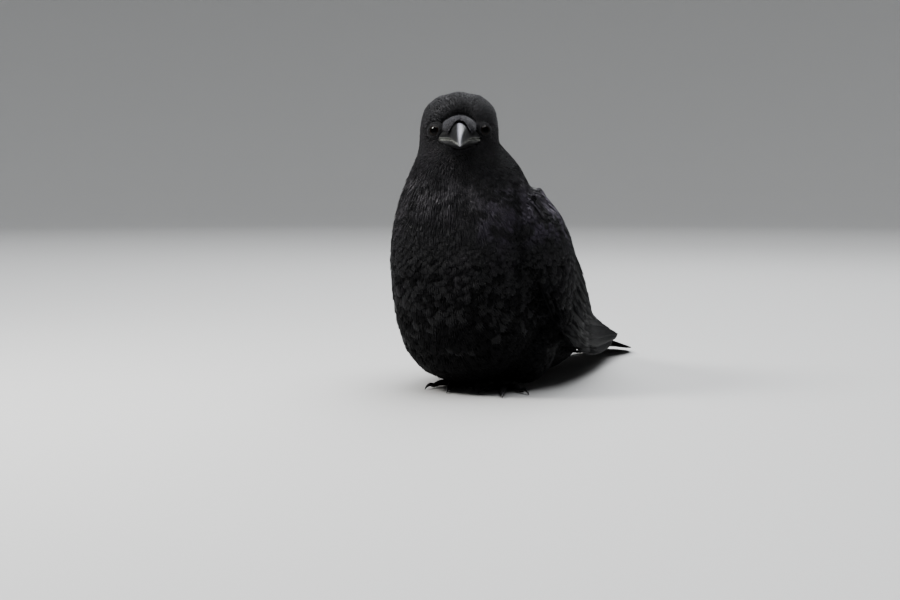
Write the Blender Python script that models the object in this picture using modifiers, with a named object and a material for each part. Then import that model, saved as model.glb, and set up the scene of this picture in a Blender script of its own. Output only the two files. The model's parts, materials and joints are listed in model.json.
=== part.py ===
"""A carrion crow, life-size, standing fluffed and upright with its head turned to its left.

Metres, +Z up. The bird's body faces -Y and its left side is +X; the floor is Z = 0.
Lengths below are in millimetres and become metres in point() and size().
"""

import math

import bmesh
import bpy
from mathutils import Matrix, Vector

MM = 0.001
GAP = 0.35  # clearance between two pieces that meet

# Driving dimensions of the bird
HEAD_TURN = math.radians(30)  # to the bird's left
NECK_AXIS = 38.0  # the vertical line about which head and neck turn, ahead of the feet
BILL_LENGTH = 57.0
BILL_HEIGHT = 201.5  # of the mouth line at the gape
BILL_BASE = 28.0  # ahead of the neck axis
CULMEN_HEIGHT = 13.2
GAPE_HALF_WIDTH = 14.2
JAW_DEPTH = 7.8
EYE_RADIUS = 6.6
EYE_AHEAD = 20.0  # ahead of the neck axis
EYE_SIDE = 17.6  # of the eyeball's centre from the middle of the head
EYE_HEIGHT = 207.5
TAIL_LENGTH = 176.0
TAIL_ROOT = (-112.0, 47.0)  # forward and up of the tail's buried end
FOOT_SIDE = 23.0
FOOT_AHEAD = 4.0
FOOT_TURN = 24.0  # degrees, both feet towards the side the head faces

SIDES = 16  # corners of a body section
RING_SHRINK = (2 + math.cos(2 * math.pi / SIDES)) / 3  # a ring's limit under subdivision

# Sections from tail to crown: back (forward, up), front (forward, up), half width, share of the turn
BODY_SECTIONS = (
    ((-160, 43), (-158, 26), 13, 0),
    ((-138, 59), (-134, 21), 27, 0),
    ((-120, 75), (-109, 12), 41, 0),
    ((-101, 94), (-79, 4.5), 52, 0),
    ((-77, 118), (-30, 3), 59, 0),
    ((-53, 142), (26, 3), 60, 0),
    ((-30, 163), (63, 14), 59, 0),
    ((-11, 180), (77, 58), 58, 0),
    ((2, 194), (84, 103), 56, 0.1),
    ((8, 204), (80, 140), 42, 0.3),
    ((9, 211), (72, 168), 32, 0.6),
    ((8.5, 217), (69, 191), 31.5, 0.9),
    ((9.5, 224), (68, 211), 31.5, 1),
    ((14, 232.5), (61.5, 227.5), 24.5, 1),
    ((25, 239), (51, 238.5), 10, 1),
)
BACK_SQUARENESS = 0.95  # of a body section: 1 is an oval, less is boxier; the head is an oval
BELLY_SQUARENESS = 0.58
SHOULDERS = 0.16  # how much wider the back half of a section is


def point(side, forward, up):
    return Vector((side, -forward, up)) * MM


def turned(place, share=1.0):
    """A place on the head or neck, turned about the neck's axis."""
    axis = point(0, NECK_AXIS, 0)
    return axis + Matrix.Rotation(share * HEAD_TURN, 3, "Z") @ (place - axis)


def start():
    for obj in list(bpy.data.objects):
        bpy.data.objects.remove(obj)
    groups = {}
    for name in ("carrion_crow", "cutters"):
        groups[name] = bpy.data.collections.new(name)
        bpy.context.scene.collection.children.link(groups[name])
    return groups["carrion_crow"], groups["cutters"]


CROW, CUTTERS = start()


def finish_of(name, colour, roughness, metallic=0.0):
    material = bpy.data.materials.new(name)
    material.use_nodes = True
    shader = material.node_tree.nodes["Principled BSDF"]
    shader.inputs["Base Color"].default_value = (*colour, 1)
    shader.inputs["Roughness"].default_value = roughness
    shader.inputs["Metallic"].default_value = metallic
    return material


PLUMAGE = finish_of("black_plumage", (0.013, 0.013, 0.016), 0.55)
FLIGHT = finish_of("glossy_flight_feathers", (0.011, 0.012, 0.017), 0.38)
HORN = finish_of("bill_horn", (0.02, 0.02, 0.022), 0.3)
SCALES = finish_of("leg_scales", (0.016, 0.016, 0.017), 0.45)
CLAW = finish_of("claw_horn", (0.012, 0.012, 0.013), 0.28)
EYE = finish_of("dark_eye", (0.012, 0.008, 0.006), 0.06)


def add(name, mesh, material, group=CROW):
    mesh.materials.clear()
    mesh.materials.append(material)
    mesh.shade_smooth()
    obj = bpy.data.objects.new(name, mesh)
    group.objects.link(obj)
    return obj


def helper(obj):
    obj.hide_render = True
    obj.display_type = "WIRE"
    return obj


def mesh_from(bm, name):
    bmesh.ops.recalc_face_normals(bm, faces=bm.faces)
    mesh = bpy.data.meshes.new(name)
    bm.to_mesh(mesh)
    bm.free()
    return mesh


def lofted(name, rings):
    """A closed skin through rings that all have the same number of points."""
    bm = bmesh.new()
    rows = [[bm.verts.new(place) for place in ring] for ring in rings]
    for low, high in zip(rows, rows[1:]):
        for i in range(len(low)):
            j = (i + 1) % len(low)
            bm.faces.new((low[i], low[j], high[j], high[i]))
    bm.faces.new(reversed(rows[0]))
    bm.faces.new(rows[-1])
    return mesh_from(bm, name)


def subdivided(obj, levels):
    modifier = obj.modifiers.new("smooth", "SUBSURF")
    modifier.levels = modifier.render_levels = levels
    return obj


def evaluated(obj):
    """A mesh copy of the object with its modifiers applied, in world space."""
    bpy.context.view_layer.update()
    graph = bpy.context.evaluated_depsgraph_get()
    mesh = bpy.data.meshes.new_from_object(obj.evaluated_get(graph))
    mesh.transform(obj.matrix_world)
    return mesh


def inflated(obj, by=GAP):
    """A cutter of the object's shape that stands out by a clearance."""
    mesh = evaluated(obj)
    for vertex, normal in zip(mesh.vertices, [v.normal.copy() for v in mesh.vertices]):
        vertex.co += normal * by * MM
    return helper(add(f"cutter_{obj.name}", mesh, PLUMAGE, CUTTERS))


def cut(obj, *cutters):
    for cutter in cutters:
        modifier = obj.modifiers.new(f"cut_{cutter.name}", "BOOLEAN")
        modifier.operation = "DIFFERENCE"
        modifier.solver = "EXACT"
        modifier.object = cutter


def kept_side(mesh, place, normal, gap=0.0):
    """The part of a closed mesh behind a plane, with a flat cap on the cut."""
    bm = bmesh.new()
    bm.from_mesh(mesh)
    bmesh.ops.bisect_plane(
        bm,
        geom=bm.verts[:] + bm.edges[:] + bm.faces[:],
        dist=1e-7,
        plane_co=place - normal.normalized() * gap * MM / 2,
        plane_no=normal.normalized(),
        clear_outer=True,
    )
    rim = [edge for edge in bm.edges if edge.is_boundary]
    bmesh.ops.contextual_create(bm, geom=rim)
    bmesh.ops.triangulate(bm, faces=[face for face in bm.faces if len(face.verts) > 4])
    return mesh_from(bm, mesh.name)


# ---------------------------------------------------------------- the feathered body


def body_ring(back, front, half_width, share):
    """An oval through the back and front points, square to the bird's middle plane."""
    back, front = point(0, *back), point(0, *front)
    middle, reach = (back + front) / 2, (back - front) / 2 / RING_SHRINK
    ring = []
    for i in range(SIDES):
        angle = 2 * math.pi * i / SIDES
        ahead = max(math.cos(angle), 0)
        boxy = BELLY_SQUARENESS + (BACK_SQUARENESS - BELLY_SQUARENESS) * (ahead > 0)
        bow = math.copysign(abs(math.sin(angle)) ** (boxy + (1 - boxy) * share), math.sin(angle))
        wide = half_width / RING_SHRINK * bow * (1 + SHOULDERS * ahead * (1 - share))
        place = middle + reach * math.cos(angle) + Vector((wide * MM, 0, 0))
        ring.append(turned(place, share))
    return ring


def make_body_form():
    rings = [body_ring(*section) for section in BODY_SECTIONS]
    form = add("body_form", lofted("body_form", rings), PLUMAGE, CUTTERS)
    return helper(subdivided(form, 1))


def cut_plane(back, front, share):
    """The plane through two points of the outline, facing up along the neck."""
    low, high = turned(point(0, *front), share), turned(point(0, *back), share)
    across = turned(point(1, NECK_AXIS, 0), share) - turned(point(0, NECK_AXIS, 0), share)
    return (low + high) / 2, across.cross(high - low)


def part_body(form):
    whole = evaluated(form)
    neck_place, neck_way = cut_plane((8, 200), (84, 126), 0.2)
    head_place, head_way = cut_plane((8.5, 212), (70, 184), 0.75)
    trunk = add("trunk", kept_side(whole, neck_place, neck_way, GAP), PLUMAGE)
    above = kept_side(whole, neck_place, -neck_way, GAP)
    neck = add("neck", kept_side(above, head_place, head_way, GAP), PLUMAGE)
    head = add("head", kept_side(whole, head_place, -head_way, GAP), PLUMAGE)
    return trunk, neck, head


# ---------------------------------------------------------------- bill and eyes

BILL_SIDES = 12
BILL_STATIONS = 12
BURIED = 7.0  # length of the bill inside the face

# Feathers on the bill's base: distance along the bill, half width, height from the mouth line
BROW_LOBE = ((-14, 19, 16), (-4, 16.5, 17.2), (5, 13, 16.8), (13, 10, 15), (20, 6, 13))
CHIN_LOBE = ((-5, 16, 11.5), (0, 14, 11.3), (6, 11, 10.2), (14, 7.5, 8.6))
LOBE_SIDES = 8
MOUTH_BARE = 3.0  # height of the bare strip on each side of the mouth line


def bill_place(side, along, up):
    return turned(point(side, NECK_AXIS + BILL_BASE + along, BILL_HEIGHT + up))


def mouth_line(along):
    """The mouth's drop below its height at the gape."""
    return -5.6 * max(along / BILL_LENGTH, 0) ** 3 - 0.035 * max(along, 0)


def bill_half_width(along):
    share = max(along, 0) / BILL_LENGTH
    flare = (GAPE_HALF_WIDTH - 9.6) * math.exp(-((along / 6.5) ** 2))
    return 9.6 * (1 - share**1.5) ** 0.9 + flare


def mandible_ring(along, height, half_width, way):
    """Half an oval on the mouth line: way is 1 above it and -1 below."""
    ring = []
    flat = BILL_SIDES // 3
    for i in range(BILL_SIDES - flat + 1):
        angle = math.pi * i / (BILL_SIDES - flat)
        up = height * math.sin(angle) ** 0.85
        ring.append((half_width * math.cos(angle), up))
    for i in range(1, flat):
        ring.append((half_width * (2 * i / flat - 1), 0))
    lift = mouth_line(along)
    return [bill_place(side, along, lift + way * (up + GAP / 2)) for side, up in ring]


def make_mandible(name, length, depth, power, way):
    rings = []
    for i in range(BILL_STATIONS + 1):
        share = math.sin(math.pi / 2 * i / BILL_STATIONS) ** 1.1
        along = -BURIED + (length + BURIED) * share
        rest = max(along, 0) / length
        height = max(depth * (1 - rest**power) ** 0.9, 0.35)
        half_width = max(min(bill_half_width(along), bill_half_width(rest * BILL_LENGTH)), 0.45)
        rings.append(mandible_ring(along, height, half_width, way))
    return add(name, lofted(name, rings), HORN)


def make_lobe(name, stations, way):
    """Feathers that reach along the bill, over it where way is 1 and under it where it is -1."""
    rings = []
    for along, half_width, height in stations:
        ring = []
        for i in range(LOBE_SIDES + 1):
            angle = math.pi * i / LOBE_SIDES
            up = MOUTH_BARE + (height - MOUTH_BARE) * math.sin(angle)
            lift = mouth_line(along) + way * up
            ring.append(bill_place(half_width * math.cos(angle), along, lift))
        rings.append(ring)
    return helper(add(name, lofted(name, rings), PLUMAGE, CUTTERS))


def make_face(head):
    for lobe in (make_lobe("brow_lobe", BROW_LOBE, 1), make_lobe("chin_lobe", CHIN_LOBE, -1)):
        joined = head.modifiers.new(f"join_{lobe.name}", "BOOLEAN")
        joined.operation = "UNION"
        joined.solver = "EXACT"
        joined.object = lobe
    upper = make_mandible("bill_upper", BILL_LENGTH, CULMEN_HEIGHT, 2.4, 1)
    lower = make_mandible("bill_lower", BILL_LENGTH - 2.5, JAW_DEPTH, 2.0, -1)
    cut(head, inflated(upper), inflated(lower))
    for name, way in (("left", 1), ("right", -1)):
        mesh = bpy.data.meshes.new(f"eye_{name}")
        bm = bmesh.new()
        bmesh.ops.create_uvsphere(bm, u_segments=12, v_segments=8, radius=EYE_RADIUS * MM)
        bm.to_mesh(mesh)
        bm.free()
        eye = add(f"eye_{name}", mesh, EYE)
        eye.location = turned(point(way * EYE_SIDE, NECK_AXIS + EYE_AHEAD, EYE_HEIGHT))
        cut(head, inflated(eye))


# ---------------------------------------------------------------- wings

# From the wrist to the tip: lower edge, upper edge, each (side, forward, up), and the bow between
WING_COLUMNS = (
    ((56, 34, 130), (46, 17, 159), 9),
    ((64, 22, 98), (44, -9, 163), 18),
    ((67, 8, 68), (38, -37, 157), 22),
    ((67, -15, 44), (30, -67, 130), 20),
    ((62, -55, 26), (20, -100, 101), 14),
    ((54, -100, 17), (11, -138, 76), 11),
    ((43, -148, 14), (6, -178, 52), 8),
    ((32, -195, 15), (5, -214, 36), 5),
    ((22, -240, 18), (12, -244, 21), 1),
)
WING_REACH = {"left": 9, "right": -3}  # how far the front of each wing is carried forward
WING_ROWS = 4
WING_THICK = 5.0
WING_CLEARANCE = 2.6  # over the body, enough for the flats between corners


def wing_net(way, reach):
    """Corner points of the wing's sheet, bowed out between its two edges."""
    net = []
    for i, (low, high, bow) in enumerate(WING_COLUMNS):
        ahead = point(0, reach * max(1 - i / 5, 0), 0)
        low, high = point(*low) + ahead, point(*high)
        out = (low - high).cross(Vector((0, 1, 0))).normalized()
        row = []
        for j in range(WING_ROWS):
            share = j / (WING_ROWS - 1)
            place = low.lerp(high, share) + out * bow * math.sin(math.pi * share) * MM
            row.append(Vector((way * place.x, place.y, place.z)))
        net.append(row)
    return net


def make_wing(name, way, form):
    bm = bmesh.new()
    thin = bm.verts.layers.deform.verify()
    rows = [[bm.verts.new(place) for place in row] for row in wing_net(way, WING_REACH[name])]
    for i, row in enumerate(rows):
        share = i / (len(rows) - 1)
        for vertex in row:
            vertex[thin][0] = min(0.3 + 1.4 * share, 1 - 0.75 * share**1.5)
    for low, high in zip(rows, rows[1:]):
        for i in range(WING_ROWS - 1):
            bm.faces.new((low[i], low[i + 1], high[i + 1], high[i])[::-way])
    mesh = bpy.data.meshes.new(f"wing_{name}")
    bm.to_mesh(mesh)
    bm.free()
    wing = add(mesh.name, mesh, FLIGHT)
    wing.vertex_groups.new(name="thickness")
    subdivided(wing, 1)
    wrap = wing.modifiers.new("over_body", "SHRINKWRAP")
    wrap.target = form
    wrap.wrap_mode = "OUTSIDE"
    wrap.offset = WING_CLEARANCE * MM
    solid = wing.modifiers.new("thickness", "SOLIDIFY")
    solid.thickness = WING_THICK * MM
    solid.offset = 1
    solid.vertex_group = "thickness"
    solid.thickness_vertex_group = 0.2


# ---------------------------------------------------------------- tail

TAIL_STATIONS = 8
TAIL_ROWS = 12
TAIL_STEP = 0.02  # share of the length by which every other feather edge falls short
TAIL_THICK = 3.2
TAIL_CAMBER = 0.0075  # drop of the sides for each square millimetre of width


def tail_half_width(share):
    return 11 + 18 * share**0.8


def make_tail():
    """A folded fan of twelve feathers, bowed across and resting on the floor at its tip."""
    root = point(0, *TAIL_ROOT)
    drop = (TAIL_ROOT[1] - 0.6) * MM
    run = math.sqrt((TAIL_LENGTH * MM) ** 2 - drop**2)
    bm = bmesh.new()
    rows = []
    for i in range(TAIL_STATIONS + 1):
        share = i / TAIL_STATIONS
        half = tail_half_width(share)
        row = []
        for j in range(TAIL_ROWS + 1):
            across = 2 * j / TAIL_ROWS - 1
            short = 0.07 * across**4 + 0.02 * abs(across) + TAIL_STEP * (j % 2 == 0)
            reach = share * (1 - share * short)
            side = half * across
            up = root.z - drop * reach - TAIL_CAMBER * side**2 * (1 - share) * MM
            row.append(bm.verts.new((side * MM, root.y + run * reach, up)))
        rows.append(row)
    for low, high in zip(rows, rows[1:]):
        for j in range(TAIL_ROWS):
            bm.faces.new((low[j], low[j + 1], high[j + 1], high[j]))
    mesh = bpy.data.meshes.new("tail")
    bm.to_mesh(mesh)
    bm.free()
    sheet = helper(add("tail_sheet", mesh, FLIGHT, CUTTERS))
    solid = sheet.modifiers.new("thickness", "SOLIDIFY")
    solid.thickness = TAIL_THICK * MM
    solid.offset = 0
    return add("tail", kept_side(evaluated(sheet), Vector((0, 0, 0)), Vector((0, 0, -1))), FLIGHT)


# ---------------------------------------------------------------- legs and feet


def tube_rings(path, radii, sides, flatten=1.0):
    """Rings square to a path, flattened from above by a share."""
    rings = []
    for i, (place, radius) in enumerate(zip(path, radii)):
        ahead = path[min(i + 1, len(path) - 1)] - path[max(i - 1, 0)]
        across = Vector((0, 0, 1)).cross(ahead)
        if across.length < 1e-9:
            across = Vector((1, 0, 0))
        across.normalize()
        over = ahead.cross(across).normalized()
        ring = []
        for j in range(sides):
            angle = 2 * math.pi * j / sides
            offset = across * math.cos(angle) + over * math.sin(angle) * flatten
            ring.append(place + offset * radius * MM)
        rings.append(ring)
    return rings


# Name, heading away from straight ahead (outwards positive), toe length, claw length, joints
TOES = (
    ("inner", -30, 25, 14, 2),
    ("middle", 2, 37, 15, 3),
    ("outer", 34, 27, 13, 4),
    ("hind", 176, 20, 17, 1),
)
TOE_START = 9.8
TOE_SIDES = 8
CLAW_SIDES = 7
THIGH_SIZE = (25, 36, 32)
THIGH_PLACE = (36, -6, 36)
PALM_SIZE = (8.4, 8.8, 6.2)
PALM_HEIGHT = 4.4
TARSUS_TOP = (-17, 33)  # forward and up of the buried end, from the foot


def ellipsoid(name, place, radii, material, segments, rings):
    bm = bmesh.new()
    bmesh.ops.create_uvsphere(bm, u_segments=segments, v_segments=rings, radius=1)
    bmesh.ops.scale(bm, vec=Vector(radii) * MM, verts=bm.verts)
    bmesh.ops.translate(bm, vec=place, verts=bm.verts)
    return add(name, mesh_from(bm, name), material)


def make_toe(side_name, way, base, spec):
    name, heading, length, claw_length, joints = spec
    angle = math.radians(FOOT_TURN + way * heading)
    ahead = Vector((math.sin(angle), -math.cos(angle), 0))
    path, radii = [], []
    steps = 2 * joints + 2
    for i in range(steps + 1):
        share = i / steps
        reach = TOE_START + (length - TOE_START) * share
        joint = 0.5 - 0.5 * math.cos(2 * math.pi * joints * share)
        radius = (2.9 - 0.6 * share) * (1 - 0.16 * joint)
        arch = 1.0 * math.sin(math.pi * share)
        path.append(base + ahead * reach * MM + Vector((0, 0, (2.5 + arch - 0.2 * share) * MM)))
        radii.append(radius)
    path[-1] = path[-1] - Vector((0, 0, 0.2 * MM))
    radii[-1] *= 0.72
    mesh = lofted(f"toe_{side_name}_{name}", tube_rings(path, radii, TOE_SIDES, 0.92))
    toe = add(mesh.name, kept_side(mesh, Vector((0, 0, 0)), Vector((0, 0, -1))), SCALES)
    return toe, make_claw(f"claw_{side_name}_{name}", path[-1], ahead, claw_length)


def make_claw(name, start_place, ahead, length):
    """A horn that curves over and down to the floor, meeting the end of its toe."""
    path, radii = [], []
    steps = 6
    sweep = math.radians(96)
    radius_of_arc = length / sweep
    for i in range(steps + 1):
        share = i / steps
        turn = math.radians(38) - sweep * share
        rise = radius_of_arc * (math.cos(turn) - math.cos(math.radians(38)))
        reach = radius_of_arc * (math.sin(math.radians(38)) - math.sin(turn))
        radii.append(1.9 * (1 - share) ** 0.75 + 0.28)
        path.append(start_place + (ahead * (reach + 1.2 * GAP) + Vector((0, 0, rise))) * MM)
    lowest = min(place.z - radius * MM for place, radius in zip(path, radii))
    if lowest < 0:
        path = [place + Vector((0, 0, -lowest * i / steps)) for i, place in enumerate(path)]
    mesh = lofted(name, tube_rings(path, radii, CLAW_SIDES))
    return add(name, kept_side(mesh, Vector((0, 0, 0)), Vector((0, 0, -1))), CLAW)


def make_leg(side_name, way, trunk):
    base = point(way * FOOT_SIDE, FOOT_AHEAD, 0)
    thigh_place = point(way * THIGH_PLACE[0], *THIGH_PLACE[1:])
    thigh = ellipsoid(f"thigh_{side_name}", thigh_place, THIGH_SIZE, PLUMAGE, 14, 8)
    cut(trunk, inflated(thigh))

    palm = ellipsoid(f"palm_{side_name}", base + Vector((0, 0, PALM_HEIGHT * MM)), PALM_SIZE, SCALES, 12, 8)
    top = base + point(way * 3, *TARSUS_TOP)
    path = [base.lerp(top, i / 4) + Vector((0, 0, 3.3 * MM)) for i in range(5)]
    shank = add(
        f"shank_{side_name}",
        lofted("shank", tube_rings(path, [4.4, 3.8, 3.5, 3.5, 4.0], 8)),
        SCALES,
        CUTTERS,
    )
    helper(shank)
    joined = palm.modifiers.new("join_shank", "BOOLEAN")
    joined.operation = "UNION"
    joined.solver = "EXACT"
    joined.object = shank
    whole = evaluated(palm)
    bpy.data.objects.remove(palm)
    tarsus = add(
        f"tarsus_{side_name}", kept_side(whole, Vector((0, 0, 0)), Vector((0, 0, -1))), SCALES
    )
    room = inflated(tarsus)
    cut(thigh, room)
    cut(trunk, room)
    for spec in TOES:
        toe, claw = make_toe(side_name, way, base, spec)
        cut(toe, room)
        over_claw = inflated(claw)
        cut(toe, over_claw)
        over_toe = inflated(toe)
        cut(thigh, over_toe)
        cut(trunk, over_toe, over_claw)


def stand_at_origin():
    """Moves the whole bird so that the middle of its footprint is the origin."""
    bpy.context.view_layer.update()
    graph = bpy.context.evaluated_depsgraph_get()
    corners = []
    for obj in CROW.objects:
        shape = obj.evaluated_get(graph)
        corners += [shape.matrix_world @ Vector(corner) for corner in shape.bound_box]
    low = Vector([min(corner[axis] for corner in corners) for axis in range(3)])
    high = Vector([max(corner[axis] for corner in corners) for axis in range(3)])
    middle = (low + high) / 2
    for obj in bpy.data.objects:
        obj.location -= Vector((middle.x, middle.y, 0))


def main():
    form = make_body_form()
    trunk, neck, head = part_body(form)
    make_face(head)
    for side_name, way in (("left", 1), ("right", -1)):
        make_wing(side_name, way, form)
        make_leg(side_name, way, trunk)
    cut(trunk, inflated(make_tail()))
    stand_at_origin()


main()
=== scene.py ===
"""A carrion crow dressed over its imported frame: skin, plumage, bill, eyes and feet.

Metres, +Z up, the body faces -Y. Lengths written in millimetres are multiplied by MM.
"""

import json
import math

import bmesh
import bpy
import numpy as np
from mathutils import Matrix, Vector, noise
from mathutils.bvhtree import BVHTree


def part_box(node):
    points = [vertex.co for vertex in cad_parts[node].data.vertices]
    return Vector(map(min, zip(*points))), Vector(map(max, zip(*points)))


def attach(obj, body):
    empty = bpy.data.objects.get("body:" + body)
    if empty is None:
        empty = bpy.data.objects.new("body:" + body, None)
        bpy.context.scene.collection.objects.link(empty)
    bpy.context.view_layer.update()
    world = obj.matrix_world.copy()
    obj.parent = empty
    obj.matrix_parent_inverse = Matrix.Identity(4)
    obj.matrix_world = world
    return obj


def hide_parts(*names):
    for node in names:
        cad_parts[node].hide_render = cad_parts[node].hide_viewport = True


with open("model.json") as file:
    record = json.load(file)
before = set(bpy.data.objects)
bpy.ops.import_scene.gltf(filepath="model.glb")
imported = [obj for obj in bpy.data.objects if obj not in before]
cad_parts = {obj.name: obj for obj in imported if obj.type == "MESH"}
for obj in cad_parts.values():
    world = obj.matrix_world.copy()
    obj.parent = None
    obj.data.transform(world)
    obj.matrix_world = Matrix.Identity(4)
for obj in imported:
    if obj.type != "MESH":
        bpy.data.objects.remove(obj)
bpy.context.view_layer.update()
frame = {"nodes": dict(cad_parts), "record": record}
NODES = frame["nodes"]

MM = 0.001
rng = np.random.default_rng(11)

# ---------------------------------------------------------------- places on the bird

FOOT_AHEAD = 4.0  # mm, the feet stand this far ahead of the middle of the stance
FEET = sum((Vector(mount["pos_m"]) for mount in frame["record"]["mounts"]), Vector()) / 2
STANCE = Vector((0, FEET.y + FOOT_AHEAD * MM, 0))


def place(side, forward, up):
    """A point from millimetres to the bird's left, forward and up from its stance."""
    return STANCE + Vector((side, -forward, up)) * MM


def middle(node):
    low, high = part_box(node)
    return (Vector(low) + Vector(high)) / 2


EYES = {"left": middle("eye_left"), "right": middle("eye_right")}
EYE_MIDDLE = (EYES["left"] + EYES["right"]) / 2
HEAD_SIDE = (EYES["left"] - EYES["right"]).normalized()
HEAD_AHEAD = HEAD_SIDE.cross(Vector((0, 0, -1))).normalized()
if HEAD_AHEAD.y > 0:
    HEAD_AHEAD = -HEAD_AHEAD
UP = Vector((0, 0, 1))
MOUTH_HEIGHT = 201.5  # mm, of the mouth line at the gape
GAPE_AHEAD = 8.0  # mm, ahead of the eyes
GAPE = Vector((EYE_MIDDLE.x, EYE_MIDDLE.y, MOUTH_HEIGHT * MM)) + HEAD_AHEAD * GAPE_AHEAD * MM
BILL_LENGTH = 57.0


def on_head(side, ahead, up):
    """A point from millimetres to the bird's left, ahead and up from the middle of the gape."""
    return GAPE + (HEAD_SIDE * side + HEAD_AHEAD * ahead + UP * up) * MM


def smooth_step(low, high, value):
    share = np.clip((value - low) / (high - low), 0, 1)
    return share * share * (3 - 2 * share)


# ---------------------------------------------------------------- modelling by operators


def deselect():
    if bpy.context.object and bpy.context.object.mode != "OBJECT":
        bpy.ops.object.mode_set(mode="OBJECT")
    bpy.ops.object.select_all(action="DESELECT")


def take(obj):
    deselect()
    obj.select_set(True)
    bpy.context.view_layer.objects.active = obj
    return obj


def named(name):
    obj = bpy.context.object
    obj.name = obj.data.name = name
    return obj


def edit(obj, kind="VERT"):
    take(obj)
    bpy.ops.object.mode_set(mode="EDIT")
    bpy.ops.mesh.select_mode(type=kind)
    bpy.ops.mesh.select_all(action="DESELECT")


def pick(obj, test, also=False):
    """Selects the vertices whose place passes a test, in edit mode."""
    shape = bmesh.from_edit_mesh(obj.data)
    for vertex in shape.verts:
        if test(vertex.co):
            vertex.select = True
        elif not also:
            vertex.select = False
    shape.select_flush_mode()
    bmesh.update_edit_mesh(obj.data)


def done():
    bpy.ops.object.mode_set(mode="OBJECT")


def modified(obj, kind, **settings):
    """Adds a modifier with these settings and applies it."""
    take(obj)
    modifier = obj.modifiers.new(kind.title(), kind)
    for name, value in settings.items():
        setattr(modifier, name, value)
    bpy.ops.object.modifier_apply(modifier=modifier.name)
    return obj


def merged_copy(name, *nodes):
    """One mesh from copies of CAD nodes, each welded into a closed shell."""
    deselect()
    copies = []
    for node in nodes:
        copy = NODES[node].copy()
        copy.data = NODES[node].data.copy()
        copy.parent = None
        copy.matrix_world = Matrix.Identity(4)
        for key in list(copy.keys()):
            del copy[key]
        bpy.context.scene.collection.objects.link(copy)
        copy.hide_viewport = copy.hide_render = False
        copy.hide_set(False)
        copies.append(copy)
    for copy in copies:
        copy.select_set(True)
    bpy.context.view_layer.objects.active = copies[0]
    if len(copies) > 1:
        bpy.ops.object.join()
    obj = named(name)
    edit(obj)
    bpy.ops.mesh.select_all(action="SELECT")
    bpy.ops.mesh.remove_doubles(threshold=1e-6)
    done()
    obj.data.materials.clear()
    return obj


def placed(obj, matrix):
    """Moves a finished piece's mesh to its place and leaves its object at the origin."""
    obj.data.transform(matrix @ obj.matrix_world)
    obj.matrix_world = Matrix.Identity(4)
    return obj


def dress(obj, material, slot, *replaced):
    obj.data.materials.clear()
    obj.data.materials.append(material)
    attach(obj, "root")
    if replaced:
        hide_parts(*replaced)
    return obj


# ---------------------------------------------------------------- materials


class Socket:
    """A shader value: sums and products on it add the nodes that work them out."""

    def __init__(self, finish, out):
        self.finish = finish
        self.out = out

    def maths(self, operation, *inputs):
        return self.finish.node("ShaderNodeMath", dict(enumerate(inputs)), operation=operation)

    def __add__(self, other):
        return self.maths("ADD", self, other)

    def __radd__(self, other):
        return self.maths("ADD", other, self)

    def __mul__(self, other):
        return self.maths("MULTIPLY", self, other)

    def __rmul__(self, other):
        return self.maths("MULTIPLY", other, self)

    def __sub__(self, other):
        return self.maths("SUBTRACT", self, other)

    def __rsub__(self, other):
        return self.maths("SUBTRACT", other, self)

    def sine(self):
        return self.maths("SINE", self)

    def size(self):
        return self.maths("ABSOLUTE", self)

    def between(self, low, high):
        """0 up to low, 1 from high on, and smooth between them."""
        inputs = {0: self, 1: low, 2: high}
        return self.finish.node("ShaderNodeMapRange", inputs, interpolation_type="SMOOTHSTEP")

    def part(self, name):
        return Socket(self.finish, self.out.node.outputs[name])


class Finish:
    """A material and the nodes that vary it."""

    def __init__(self, name, **constants):
        self.material = bpy.data.materials.new(name)
        self.material.use_nodes = True
        self.tree = self.material.node_tree
        self.shader = self.tree.nodes["Principled BSDF"]
        for socket, value in constants.items():
            self.shader.inputs[socket.replace("_", " ")].default_value = value

    def node(self, kind, inputs=(), **settings):
        made = self.tree.nodes.new(kind)
        for name, value in settings.items():
            setattr(made, name, value)
        for key, value in dict(inputs).items():
            if isinstance(value, Socket):
                self.tree.links.new(value.out, made.inputs[key])
            else:
                made.inputs[key].default_value = value
        return Socket(self, next(out for out in made.outputs if out.enabled))

    def mix(self, share, low, high):
        colours = [(*c, 1) if isinstance(c, tuple) else c for c in (low, high)]
        inputs = {0: share, 6: colours[0], 7: colours[1]}
        return self.node("ShaderNodeMix", inputs, data_type="RGBA")

    def place(self):
        return self.node("ShaderNodeTexCoord").part("Object")

    def noise(self, where, scale, detail=3.0, roughness=0.5):
        inputs = {"Vector": where, "Scale": scale, "Detail": detail, "Roughness": roughness}
        return self.node("ShaderNodeTexNoise", inputs)

    def bump(self, height, distance, strength=1.0):
        inputs = {"Height": height, "Distance": distance, "Strength": strength}
        return self.node("ShaderNodeBump", inputs)

    def give(self, **values):
        for name, value in values.items():
            self.tree.links.new(value.out, self.shader.inputs[name.replace("_", " ")])
        return self.material


def with_painted_highlights(finish, colour):
    """Painted highlights: paler patches across the upper breast, and a painted violet sheen on the left
    shoulder.
    """
    where = finish.node("ShaderNodeSeparateXYZ", {0: finish.place()})
    side, height = where.part("X"), where.part("Z")
    cloud = finish.noise(finish.place(), 75.0, 2.0).between(0.42, 0.6)
    # Painted highlight: paler cloudy patches on the upper breast, standing for light on its puffed feathers.
    breast = height.between(0.13, 0.15) * (1 - height.between(0.162, 0.178))
    colour = finish.mix(breast * cloud * 0.7, colour, (0.066, 0.062, 0.068))
    # Painted sheen: a violet bloom over the left shoulder.
    shoulder = side.between(0.024, 0.045) * height.between(0.11, 0.135) * (1 - height.between(0.158, 0.168))
    return finish.mix(shoulder * cloud * 0.5, colour, (0.06, 0.05, 0.074))


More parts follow.
